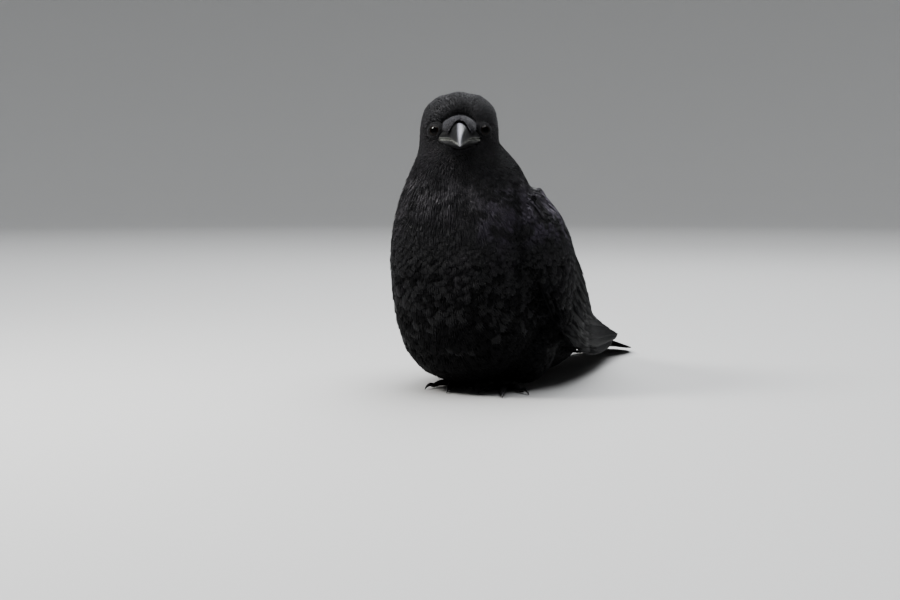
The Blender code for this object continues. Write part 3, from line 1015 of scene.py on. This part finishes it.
def strays(row):
    """Whether a feather creases or bends back on itself, or ends on a wing behind the shoulder."""
    points, normals, falls, width = row[:4]
    tip = points[-1]
    edged = by_upper_edge(points[0], 22)
    if min(a.dot(b) for a, b in zip(normals, normals[1:])) < (0.95 if edged else 0.86):
        return True
    jump = max(abs(a - b) for pair, after in zip(falls, falls[1:]) for a, b in zip(pair, after))
    if jump > 0.2 * width:
        return True
    bend = (points[1] - points[0]).normalized().dot((tip - points[-2]).normalized())
    if bend < (0.88 if edged else 0.62):
        return True
    _, forward, up = bird_coordinates(tip)
    if forward > -14 - 0.32 * (up - 60) or by_upper_edge(tip, 18):
        return False
    on_wing = min(tree.find_nearest(tip)[3] for tree in WING_SURFACES.values())
    return on_wing < FLESH_SURFACE.find_nearest(tip)[3]


def nearest_eye(point):
    return min((point - eye).length for eye in EYES.values()) / MM


def split_coat(name, plumes, material, parts):
    """Builds plumes as several meshes, from the front of the bird to its back."""
    rows = [(plume.shape, row) for plume in plumes for row in plume.rows]
    rows.sort(key=lambda item: item[1][0][0].y)
    each = math.ceil(len(rows) / parts)
    for part in range(parts):
        share = {}
        for shape, row in rows[part * each:(part + 1) * each]:
            share.setdefault(shape, Plume(shape)).rows.append(row)
        build_coat(f"{name}_{part + 1}", list(share.values()), material, "black_plumage")


def fringe(row, strands):
    """Loose barbs from a body feather's outer half, reaching just past its rounded end."""
    points, normals, falls, width, lift, tone, _ = row
    steps = len(points) - 1
    for u in (-0.8, -0.45, -0.1, 0.25, 0.6, 0.9):
        u += rng.uniform(-0.12, 0.12)
        start, end = rng.uniform(0.55, 0.72), 1.08 - 0.26 * u * u + rng.uniform(-0.05, 0.05)
        spots, overs = [], []
        for k in range(4):
            v = start + (end - start) * k / 3
            low = min(int(v * steps), steps - 1)
            part = v * steps - low
            spot = points[low].lerp(points[low + 1], part)
            over = normals[low].lerp(normals[low + 1], part)
            across = (points[low + 1] - points[low]).cross(over).normalized()
            reach = u * width / 2 * (0.8 + 0.12 * k / 3)
            fall = falls[low][0 if u < 0 else 1] * (u / 0.8) ** 2
            height = (lift[0] + (lift[1] - lift[0]) * v) * MM + fall
            spots.append(spot + across * reach + over * height)
            overs.append(over)
        own = min(max(tone + rng.uniform(-0.07, 0.07), 0), 1)
        broad = width * rng.uniform(0.13, 0.2)
        strands.lay_on(None, spots, overs, broad, (0.02, 0.1), own, flat=True)


def dress_body():
    points = scattered(guide, 260000)
    length, width, gap = feather_size(points)
    kept = spaced(points / MM, gap)
    face, head = Plume("face"), Plume("head")
    body = [Plume("body_a"), Plume("body_b"), Plume("body_c")]
    belly = [Plume("body_a"), Plume("body_b"), Plume("body_c")]
    for index in kept:
        point = Vector(points[index])
        normal = GUIDE.find_nearest(point)[1]
        if nearest_eye(point) < 7.2 or from_tuft(point) < 1.13 or bare_or_covered(point, normal):
            continue
        far = from_gape(points[index])
        size, broad = length[index] * rng.uniform(0.9, 1.1), width[index] * rng.uniform(0.92, 1.08)
        depth = float(coat_depth(points[index]))
        brink = float(smooth_step(1.55, 1.2, from_tuft(point)))
        size, broad = size * (1 - 0.15 * brink), broad * (1 - 0.4 * brink)
        tone = rng.uniform(0.15, 0.85)
        under = 0.35 * float(smooth_step(95, 60, far))
        side, _, up = bird_coordinates(points[index])
        if by_upper_edge(point, 14):
            depth *= 0.6
        full = 2.6 * float(smooth_step(-38, -60, side) * smooth_step(20, 50, up) * smooth_step(112, 82, up))
        lift = (0.25 * depth - 0.8 * brink, depth * (rng.uniform(0.92, 1.08) - under) + full)
        if far < 27:
            plume, steps = face, 4
        elif far < 66:
            plume, steps = head, 4
        else:
            # Feathers low on the body take the darker belly finish, painted shade, over a ragged border.
            height = point.z / MM + rng.uniform(-40, 40)
            plume, steps = (belly if height < 90 else body)[rng.integers(3)], 6
        way = Matrix.Rotation(rng.normal(0, 0.07), 3, normal) @ lie_of(point)
        roll = rng.normal(0, 0.03)
        plume.lay(GUIDE, point, way, size * MM, broad * MM, lift, tone, steps, lie_of, roll=roll)
        if steps == 6 and strays(plume.rows[-1]):
            plume.rows.pop()
    print("contour feathers", {p.shape: len(p.rows) for p in (face, head, *body, *belly)})
    split_coat("head_plumage", [face, head], FACE, 1)
    for name, plumes, material, parts in (("body", body, CONTOUR, 2), ("belly", belly, SHADED_BELLY, 2)):
        split_coat(f"{name}_plumage", plumes, material, parts)
        strands = Plume("strand")
        for plume in plumes:
            for row in plume.rows:
                fringe(row, strands)
        split_coat(f"{name}_fringes", [strands], material, 1)


def dress_strands():
    """Fine loose barbs, close as velvet on the head and longer and pointed down the throat."""
    points = scattered(guide, 150000)
    far = from_gape(points)
    head = head_coordinates(points)
    length = np.interp(far, (14, 25, 45, 70, 100), (2.2, 3.4, 5.4, 8.5, 12.0))
    width = np.interp(far, (14, 25, 45, 70, 100), (0.34, 0.42, 0.6, 0.85, 1.1))
    wanted = 3.0 / (length * width) * smooth_step(92, 64, far)
    wanted *= 1 + 1.2 * smooth_step(1.7, 1.2, from_tuft(points))
    chance = wanted * AREA_SHARE["guide"] / len(points)
    fine, throat = Plume("strand"), Plume("hackle")
    for index in np.flatnonzero(rng.random(len(points)) < chance):
        point = Vector(points[index])
        normal = GUIDE.find_nearest(point)[1]
        near_eye = nearest_eye(point)
        if near_eye < 7.4 or from_tuft(point) < 1.12 or bare_or_covered(point, normal):
            continue
        side, ahead, up = head[index]
        depth = float(coat_depth(point))
        way = Matrix.Rotation(rng.normal(0, 0.09), 3, normal) @ lie_of(point)
        tone = rng.uniform(0.25, 0.75)
        brow = 1.1 * float(smooth_step(14, 9, near_eye)) * float(smooth_step(6, 10, up))
        lift = (0.45 * depth, depth * (rng.uniform(0.95, 1.25) + brow))
        size, broad = length[index] * rng.uniform(0.8, 1.2), width[index] * rng.uniform(0.8, 1.2)
        hackled = smooth_step(-8, -14, up) * smooth_step(-42, -26, ahead) * smooth_step(66, 50, far[index])
        if rng.random() < 0.4 * hackled * smooth_step(2, -7, side):
            lift = (0.5 * depth, depth * rng.uniform(1.1, 1.8))
            throat.lay(
                GUIDE, point, way, size * 1.25 * MM, broad * 1.6 * MM, lift, tone, 5, lie_of, flat=True
            )
        else:
            fine.lay(GUIDE, point, way, size * MM, broad * MM, lift, tone, 3, lie_of, flat=True)
    print("strands", len(fine.rows), "hackles", len(throat.rows))
    split_coat("head_strands", [fine], FACE, 2)
    split_coat("throat_hackles", [throat], HACKLES, 1)


def dress_nostrils():
    """The domed tuft of stiff bristles over the bill's base, from which its bare ridge runs out."""
    bristles = Plume("bristle")
    for way in (-1, 1):
        for _ in range(1500):
            angle = 96 - 76 * rng.random() ** 0.9
            reach = rng.random() ** 0.85
            furthest = np.interp(angle, (15, 30, 50, 70, 96), (9, 13, 15, 13, 10.5))
            nearest = np.interp(angle, (15, 35, 60), (-0.5, -3, -4.2))
            ahead = nearest + (furthest - nearest) * reach
            half_width = np.interp(ahead, (-5, 0, 5, 10, 15), (12.6, 12.8, 11.4, 9.6, 8.4))
            height = np.interp(ahead, (-5, 5, 12, 16), (18.0, 17.0, 14.5, 12.5))
            angle = math.radians(angle)
            spot = on_head(
                way * half_width * math.cos(angle), ahead, 3 + (height - 3) * math.sin(angle)
            )
            root = FACE_SURFACE.find_nearest(spot)[0]
            fan = 0.6 * math.sin(2 * angle) + rng.normal(0, 0.12)
            aim = HEAD_AHEAD - UP * rng.uniform(0.05, 0.35) + HEAD_SIDE * way * fan
            length = rng.uniform(6.5, 9.0)
            full = math.sin(math.pi * (0.12 + 0.76 * reach)) ** 0.6
            lift = (0.2 + 1.0 * full, 0.3 + 1.1 * full + rng.uniform(-0.3, 0.3))
            bristles.lay(
                FACE_SURFACE, root, aim, length * MM, rng.uniform(0.45, 0.8) * MM, lift,
                rng.uniform(0.1, 0.9), 5, flat=True,
            )
    build_coat("nasal_bristles", [bristles], BRISTLES, "black_plumage")


dress_body()
dress_strands()
dress_nostrils()

# ---------------------------------------------------------------- wings


def wing_feather(plume, node, root, tip, width, lift, bend=1.6, steps=12, bow=0.0):
    """A feather from one place of the wing to another, both as (i, j)."""
    points, normals = [], []
    for k in range(steps + 1):
        share = k / steps
        i = root[0] + (tip[0] - root[0]) * share
        j = root[1] + (tip[1] - root[1]) * share**bend + bow * math.sin(math.pi * share)
        spot, out = wing_place(node, i, j)
        points.append(spot)
        normals.append(out)
    for _ in range(3):
        inner = [(a + b * 2 + c) / 4 for a, b, c in zip(points, points[1:], points[2:])]
        points = [points[0], *inner, points[-1]]
        inner = [(a + b * 2 + c).normalized() for a, b, c in zip(normals, normals[1:], normals[2:])]
        normals = [normals[0], *inner, normals[-1]]
    for k, (spot, out) in enumerate(zip(points, normals)):
        ahead = (points[min(k + 1, steps)] - points[max(k - 1, 0)]).normalized()
        normals[k] = (out - ahead * out.dot(ahead)).normalized()
    plume.lay_on(WING_SHEETS[node], points, normals, width * MM, lift, rng.uniform(0, 1))


# Places (i, j) of root and tip, and widths in mm, from the lowest feather up
PRIMARIES = (
    ((1.6, 0.02), (7.05, 0.10), 10), ((1.7, 0.05), (7.7, 0.28), 12), ((1.8, 0.09), (7.98, 0.48), 13),
    ((1.9, 0.13), (7.85, 0.64), 14), ((2.0, 0.17), (7.5, 0.76), 15), ((2.1, 0.21), (7.1, 0.84), 15),
    ((2.2, 0.25), (6.75, 0.88), 16), ((2.3, 0.29), (6.4, 0.90), 16), ((2.4, 0.33), (6.1, 0.92), 17),
)
SECONDARIES = (
    ((2.2, 0.30), (5.85, 0.60), 17), ((2.2, 0.37), (5.8, 0.66), 18), ((2.2, 0.44), (5.72, 0.72), 19),
    ((2.2, 0.51), (5.62, 0.78), 20), ((2.2, 0.58), (5.5, 0.83), 21), ((2.2, 0.65), (5.38, 0.87), 22),
    ((2.2, 0.72), (5.25, 0.91), 23),
)
TERTIALS = (
    ((2.0, 0.76), (5.0, 0.92), 24), ((1.9, 0.82), (4.65, 0.95), 25),
    ((1.8, 0.88), (4.25, 0.97), 25), ((1.7, 0.94), (3.8, 0.99), 24),
)


def make_wing(node):
    core = merged_copy(f"{node}_core", node)
    edit(core, "FACE")
    bpy.ops.mesh.select_all(action="SELECT")
    bpy.ops.mesh.bisect(
        plane_co=place(0, -125, 0), plane_no=(0, 1, 0), clear_outer=True, use_fill=True
    )
    done()
    modified(core, "DISPLACE", strength=-1.5 * MM, mid_level=0)
    dress(core, SKIN, "glossy_flight_feathers", node)
    flights, coverts = Plume("flight"), Plume("covert")
    for order, (root, tip, width) in enumerate(PRIMARIES):
        wing_feather(flights, node, root, tip, width, (-1.5, -1.1 + 0.1 * order), 1.5, 14)
    for order, (root, tip, width) in enumerate(SECONDARIES):
        wing_feather(flights, node, root, tip, width, (-1.0, -0.3 + 0.1 * order), 1.3, 14)
    for order, (root, tip, width) in enumerate(TERTIALS):
        wing_feather(flights, node, root, tip, width, (-0.6, 0.5 + 0.12 * order), 1.2, 14)
    for k in range(7):
        root, tip = (1.9, 0.02 + 0.035 * k), (4.75 - 0.08 * k, 0.05 + 0.045 * k)
        wing_feather(coverts, node, root, tip, 9, (-0.8, 0.1 + 0.08 * k), 1.3, 8)
    for k in range(14):
        j = 0.03 + 0.92 * k / 13
        root, tip = (1.7, j), (4.05 - 0.45 * j + rng.uniform(-0.05, 0.05), j + 0.03)
        wing_feather(coverts, node, root, tip, 15, (-0.5, 0.9 + 0.03 * k), 1.2, 8)
    for k in range(3):
        root, tip = (1.5, 0.015 + 0.02 * k), (3.9 - 0.4 * k, 0.035 + 0.035 * k)
        wing_feather(coverts, node, root, tip, 8, (-0.2, 1.1 + 0.1 * k), 1.3, 8)
    for k in range(15):
        j = 0.02 + 0.95 * k / 14
        root, tip = (1.05, j), (2.95 - 0.25 * j + rng.uniform(-0.08, 0.08), j + 0.02)
        wing_feather(coverts, node, root, tip, 13, (-0.3, 1.3), 1.2, 8)
    way = WING_WAY[node]
    for row in range(3):
        for k in range(12):
            i = 1.0 + 0.24 * k + 0.1 * row
            j = 0.97 - 0.05 * row
            tip = (i + 1.15 + 0.08 * k, j - 0.04 - 0.09 * (1 - k / 12) + rng.uniform(-0.02, 0.02))
            wide = np.interp(k, (0, 4), (8, 17))
            lift = (np.interp(k, (0, 4), (-1.2, 0.1)), np.interp(k, (0, 4), (0.9, 2.2 - 0.4 * row)))
            wing_feather(coverts, node, (i, j), tip, wide, lift, 1.0, 8)
    for row in range(2):
        for k in range(13):
            i = 0.9 + 0.19 * k
            edge = wing_place(node, i, 0.0)[0]
            root = edge + Vector((-way * 2, -9 - 4 * row, -5 - 4 * row)) * MM
            aim = Vector((way * 0.1, 0.9, 0.12 - 0.2 * row))
            length = 23 * rng.uniform(0.85, 1.1)
            coverts.lay(GUIDE, root, aim, length * MM, 12 * MM, (0.8, 3.2), rng.uniform(0, 1), 8)
    return flights, coverts


def dress_wings():
    for node in WINGS:
        flights, coverts = make_wing(node)
        strands = Plume("strand")
        for row in coverts.rows:
            fringe(row, strands)
        build_coat(f"{node}_feathers", [flights, coverts], FLIGHT, "glossy_flight_feathers")
        build_coat(f"{node}_fringes", [strands], FLIGHT, "glossy_flight_feathers")


dress_wings()

# ---------------------------------------------------------------- tail

TAIL_LENGTH = 176.0
TAIL_ROOT = (-112.0, 47.0)


def tail_place(share, across):
    """A place in the middle of the folded tail: share of its length, across from -1 to 1."""
    drop = TAIL_ROOT[1] - 0.6
    run = math.sqrt(TAIL_LENGTH**2 - drop**2)
    side = (11 + 18 * max(share, 0) ** 0.8) * across
    up = TAIL_ROOT[1] - drop * share - 0.0075 * side**2 * (1 - share)
    return place(side, TAIL_ROOT[0] - run * share, up)


def dress_tail():
    """Twelve tail feathers, the middle pair on top and each outer one under its neighbour."""
    plume = Plume("flight")
    steps = 14
    for number in (0, 11, 1, 10, 2, 9, 3, 8, 4, 7, 5, 6):
        offset = (number - 5.5) / 5.5
        reach = 1 - 0.055 * abs(offset) ** 3 - 0.012 * abs(offset) - rng.uniform(0, 0.006)
        points, normals = [], []
        for k in range(steps + 1):
            share = k / steps
            across = offset * (0.45 + 0.24 * share)
            spot = tail_place(share * reach, across)
            ahead = tail_place(share * reach + 0.01, across) - spot
            beside = tail_place(share * reach, across + 0.05) - spot
            over = beside.cross(ahead).normalized()
            points.append(spot)
            normals.append(over if over.z > 0 else -over)
        height = 1.7 - 0.3 * abs(number - 5.5) + (0.12 if number == 6 else 0)
        plume.lay_on(GUIDE, points, normals, 21 * MM, (height, height), rng.uniform(0, 1), flat=True)
    build_coat("tail_feathers", [plume], FLIGHT, "glossy_flight_feathers", "tail")


dress_tail()

# ---------------------------------------------------------------- bill


def make_bill(node):
    """The horn of one mandible: a rounded copy that keeps its cutting edge."""
    horn = merged_copy(f"{node}_horn", node)
    for vertex in horn.data.vertices:
        side, ahead, up = head_coordinates(vertex.co)
        flange = float(smooth_step(17, 1, ahead) * smooth_step(9, 2, abs(up)))
        vertex.co += HEAD_SIDE * (side * 0.19 * flange) * MM
        blunt = float(smooth_step(47, 57, ahead))
        vertex.co -= (HEAD_SIDE * side * 0.62 + UP * (up + 7.0) * 0.5) * blunt * MM
    edit(horn, "FACE")
    bpy.ops.mesh.select_all(action="SELECT")
    bpy.ops.mesh.tris_convert_to_quads(face_threshold=math.radians(60), shape_threshold=math.radians(60))
    bpy.ops.mesh.select_all(action="DESELECT")
    bpy.ops.mesh.select_mode(type="EDGE")
    bpy.ops.mesh.edges_select_sharp(sharpness=math.radians(52))
    bpy.ops.transform.edge_crease(value=0.85)
    done()
    modified(horn, "SUBSURF", levels=2, render_levels=2)
    take(horn)
    bpy.ops.object.shade_smooth()
    return dress(horn, HORN, "bill_horn", node)


for node in ("bill_upper", "bill_lower"):
    make_bill(node)

# ---------------------------------------------------------------- eyes

EYE_RADIUS = 6.6


def eye_opening(side):
    """The way out of an eye's socket, and how far out the skin meets the eyeball, in mm."""
    head = NODES["head"].data
    way, rim = Vector(), []
    for face in head.polygons:
        gap = (face.center - EYES[side]).length / MM
        if 7.3 < gap < 11.5:
            way += face.normal * face.area
    way.normalize()
    for vertex in head.vertices:
        offset = vertex.co - EYES[side]
        if offset.length < 7.15 * MM:
            rim.append(offset.dot(way) / MM)
    return way, float(np.percentile(rim, 75))


def eye_finish(side, way):
    """A black pupil in a dark brown iris, wet all over."""
    finish = Finish(f"{side}_eye", IOR=1.24, Roughness=0.05)
    offset = finish.node(
        "ShaderNodeVectorMath", {0: finish.place(), 1: tuple(EYES[side])}, operation="SUBTRACT"
    )
    out = finish.node("ShaderNodeVectorMath", {0: offset, 1: tuple(way)}, operation="DOT_PRODUCT")
    height = out.part("Value") * (1 / (EYE_RADIUS * MM))
    streaks = finish.noise(finish.place(), 2600.0, 2.0) * 0.02
    iris = finish.mix((height + streaks).between(0.8, 0.9), (0.003, 0.002, 0.0015), (0.0075, 0.0042, 0.0025))
    colour = finish.mix(height.between(0.9, 0.915), iris, (0.0008, 0.0008, 0.001))
    return finish.give(Base_Color=colour)


# A lid's profile from its buried edge to its lip: radius and height from the eyeball's middle
LID_PROFILE = ((7.6, 1.6), (7.1, 2.9), (6.35, 3.75), (5.5, 4.6), (4.6, 5.25), (3.95, 5.5), (3.75, 5.2))


def make_lid(side, way):
    """Bare skin drawn close over the eyeball, with an oval opening and a rounded lip."""
    deselect()
    bpy.ops.mesh.primitive_circle_add(vertices=40, radius=LID_PROFILE[0][0] * MM)
    lid = named(f"{side}_lid")
    edit(lid, "EDGE")
    bpy.ops.mesh.select_all(action="SELECT")
    bpy.ops.transform.translate(value=(0, 0, LID_PROFILE[0][1] * MM))
    for (wide, low), (narrow, high) in zip(LID_PROFILE, LID_PROFILE[1:]):
        bpy.ops.mesh.extrude_edges_move(TRANSFORM_OT_translate={"value": (0, 0, (high - low) * MM)})
        ratio = narrow / wide
        bpy.ops.transform.resize(value=(ratio, ratio, 1), center_override=(0, 0, high * MM))
    done()
    modified(lid, "SOLIDIFY", thickness=0.3 * MM, offset=-1)
    modified(lid, "SUBSURF", levels=1, render_levels=1)
    edit(lid)
    pick(lid, lambda co: co.z > 4.3 * MM)
    bpy.ops.transform.resize(value=(1.03, 0.86, 1), center_override=(0, 0, 0))
    bpy.ops.mesh.select_all(action="SELECT")
    bpy.ops.mesh.normals_make_consistent(inside=False)
    done()
    across = UP.cross(way).normalized()
    turn = Matrix((across, way.cross(across), way)).transposed().to_4x4()
    placed(lid, Matrix.Translation(EYES[side]) @ turn)
    take(lid)
    bpy.ops.object.shade_smooth()
    dress(lid, LID, "black_plumage")
    return tree_of(lid), across, way.cross(across)


def make_eye(side, feathers):
    way, rim = eye_opening(side)
    print(side, "eye: way", tuple(round(c, 2) for c in way), "rim", round(rim, 2))
    deselect()
    bpy.ops.mesh.primitive_uv_sphere_add(
        segments=40, ring_count=20, radius=EYE_RADIUS * MM, location=EYES[side]
    )
    ball = placed(named(f"{side}_eyeball"), Matrix.Identity(4))
    take(ball)
    bpy.ops.object.shade_smooth()
    dress(ball, eye_finish(side, way), "dark_eye", f"eye_{side}")
    tree, across, upward = make_lid(side, way)
    for radius, height, length in (
        (4.2, 5.35, 1.0), (4.55, 5.15, 1.3), (4.9, 5.0, 1.5), (5.5, 4.6, 1.8), (6.1, 4.1, 2.2), (6.8, 3.3, 2.8), (7.3, 2.4, 3.2)
    ):
        for _ in range(90):
            angle = rng.uniform(0, 2 * math.pi)
            out = across * math.cos(angle) + upward * math.sin(angle) * 0.96
            root = EYES[side] + (out * radius + way * height) * MM
            aim = (out * 0.7 - way * 0.3 + lie_of(root)).normalized()
            feathers.lay(
                tree, root, aim, length * rng.uniform(0.85, 1.2) * MM, 0.42 * MM,
                (0.03, 0.35 * rng.uniform(0.7, 1.2)), rng.uniform(0.2, 0.8), 3, flat=True,
            )


lid_feathers = Plume("strand")
for side in EYES:
    make_eye(side, lid_feathers)
build_coat("lid_plumage", [lid_feathers], FACE, "black_plumage")

# ---------------------------------------------------------------- feet

FOOT_SIDE = 23.0
FOOT_TURN = 24.0
TOE_START = 9.8
TOES = (("inner", -30, 25, 2), ("middle", 2, 37, 3), ("outer", 34, 27, 4), ("hind", 176, 20, 1))


def scute():
    """One overlapping scale of a toe: the upper part of a short cone about the X axis."""
    deselect()
    bpy.ops.mesh.primitive_cone_add(vertices=20, radius1=1.1, radius2=0.97, depth=1)
    plate = named("scute")
    edit(plate)
    bpy.ops.mesh.select_all(action="SELECT")
    bpy.ops.mesh.bisect(plane_co=(0, 0.1, 0), plane_no=(0, -1, 0), clear_outer=True, use_fill=True)
    done()
    modified(plate, "BEVEL", width=0.05, segments=2, limit_method="ANGLE", angle_limit=math.radians(50))
    return plate


def make_foot(side, way):
    names = [f"toe_{side}_{toe[0]}" for toe in TOES]
    leg = merged_copy(f"{side}_leg", f"tarsus_{side}", *names)
    modified(leg, "DISPLACE", strength=0.3 * MM, mid_level=0)
    modified(leg, "REMESH", mode="VOXEL", voxel_size=0.55 * MM, adaptivity=0)
    modified(leg, "SMOOTH", factor=0.5, iterations=4)
    modified(leg, "DISPLACE", strength=-0.3 * MM, mid_level=0)
    for vertex in leg.data.vertices:
        vertex.co.z = max(vertex.co.z, 0.0)
    take(leg)
    bpy.ops.object.shade_smooth()
    dress(leg, SCALES, "leg_scales", f"tarsus_{side}", *names)
    base = place(way * FOOT_SIDE, FOOT_AHEAD, 0)
    plate = scute()
    plates = []
    for name, heading, length, joints in TOES:
        angle = math.radians(FOOT_TURN + way * heading)
        ahead = Vector((math.sin(angle), -math.cos(angle), 0))
        count = round((length - TOE_START) / 1.9)
        for k in range(count):
            share = (k + 0.5) / count
            reach = TOE_START + (length - TOE_START) * share
            joint = 0.5 - 0.5 * math.cos(2 * math.pi * joints * share)
            radius = (2.9 - 0.6 * share) * (1 - 0.16 * joint)
            arch = math.sin(math.pi * share)
            spot = base + ahead * reach * MM + Vector((0, 0, (2.5 + arch - 0.2 * share) * MM))
            across = UP.cross(ahead)
            frame_of = Matrix((across, UP, ahead)).transposed().to_4x4()
            size = Matrix.Diagonal((radius * MM, radius * 0.95 * MM, 2.5 * MM, 1))
            copy = plate.copy()
            copy.data = plate.data.copy()
            bpy.context.scene.collection.objects.link(copy)
            placed(copy, Matrix.Translation(spot) @ frame_of @ size)
            plates.append(copy)
    bpy.data.objects.remove(plate)
    deselect()
    for copy in plates:
        copy.select_set(True)
    bpy.context.view_layer.objects.active = plates[0]
    bpy.ops.object.join()
    scutes = named(f"{side}_scutes")
    bpy.ops.object.shade_smooth_by_angle(angle=math.radians(40))
    dress(scutes, SCALES, "leg_scales")
    for toe in TOES:
        node = f"claw_{side}_{toe[0]}"
        claw = merged_copy(f"{node}_horn", node)
        edit(claw, "FACE")
        bpy.ops.mesh.select_all(action="SELECT")
        bpy.ops.mesh.tris_convert_to_quads(face_threshold=math.radians(50), shape_threshold=math.radians(60))
        done()
        modified(claw, "SUBSURF", levels=2, render_levels=2)
        take(claw)
        bpy.ops.object.shade_smooth()
        dress(claw, CLAW, "claw_horn", node)


for side, way in (("left", 1), ("right", -1)):
    make_foot(side, way)

bpy.data.objects.remove(guide)

# ---------------------------------------------------------------- studio


def make_floor():
    """A pale round floor that curves up into its backdrop on every side."""
    finish = Finish("studio_floor", Roughness=0.7, Specular_IOR_Level=0.3)
    finish.shader.inputs["Base Color"].default_value = (0.42, 0.42, 0.415, 1)
    deselect()
    bpy.ops.mesh.primitive_circle_add(vertices=96, radius=4.0, fill_type="NGON")
    floor = named("studio_floor")
    edit(floor, "EDGE")
    bpy.ops.mesh.select_all(action="SELECT")
    for k in range(1, 10):
        angle = math.radians(10 * k)
        before = math.radians(10 * (k - 1))
        old, new = 4 + 2 * math.sin(before), 4 + 2 * math.sin(angle)
        bpy.ops.mesh.extrude_edges_move(
            TRANSFORM_OT_translate={"value": (0, 0, 2 * (math.cos(before) - math.cos(angle)))}
        )
        bpy.ops.transform.resize(value=(new / old, new / old, 1), center_override=(0, 0, 0))
    bpy.ops.mesh.extrude_edges_move(TRANSFORM_OT_translate={"value": (0, 0, 3)})
    done()
    take(floor)
    bpy.ops.object.shade_smooth()
    floor.data.materials.append(finish.material)


def add_light(name, spot, aim, size, power, colour=(1, 1, 1)):
    deselect()
    bpy.ops.object.light_add(type="AREA", location=spot)
    light = bpy.context.object
    light.name = light.data.name = name
    light.data.shape = "DISK"
    light.data.size = size
    light.data.energy = power
    light.data.color = colour
    light.rotation_euler = (Vector(aim) - Vector(spot)).to_track_quat("-Z", "Y").to_euler()


def light_studio():
    world = bpy.data.worlds.new("studio")
    world.use_nodes = True
    world.node_tree.nodes["Background"].inputs[0].default_value = (0.86, 0.9, 0.95, 1)
    world.node_tree.nodes["Background"].inputs[1].default_value = 0.18
    bpy.context.scene.world = world
    bpy.context.scene.view_settings.look = "AgX - Medium High Contrast"
    add_light("ceiling", (0, 0, 3.6), (0, 0, 0), 5.0, 300, (0.97, 0.98, 1))
    add_light("key", (-0.46, -0.6, 0.76), (0, -0.12, 0.17), 0.28, 10, (1, 0.985, 0.96))
    add_light("rim", (-0.3, 1.3, 1.3), (0, 0, 0.12), 1.0, 9, (0.96, 0.98, 1))


def add_camera():
    deselect()
    bpy.ops.object.camera_add(
        location=(0.5272, -1.0507, 0.170),
        rotation=(math.radians(90 - 5.117), 0, math.radians(30)),
    )
    camera = bpy.context.object
    camera.data.lens = 53.6
    camera.data.sensor_width = 36
    bpy.context.scene.camera = camera


make_floor()
light_studio()
add_camera()
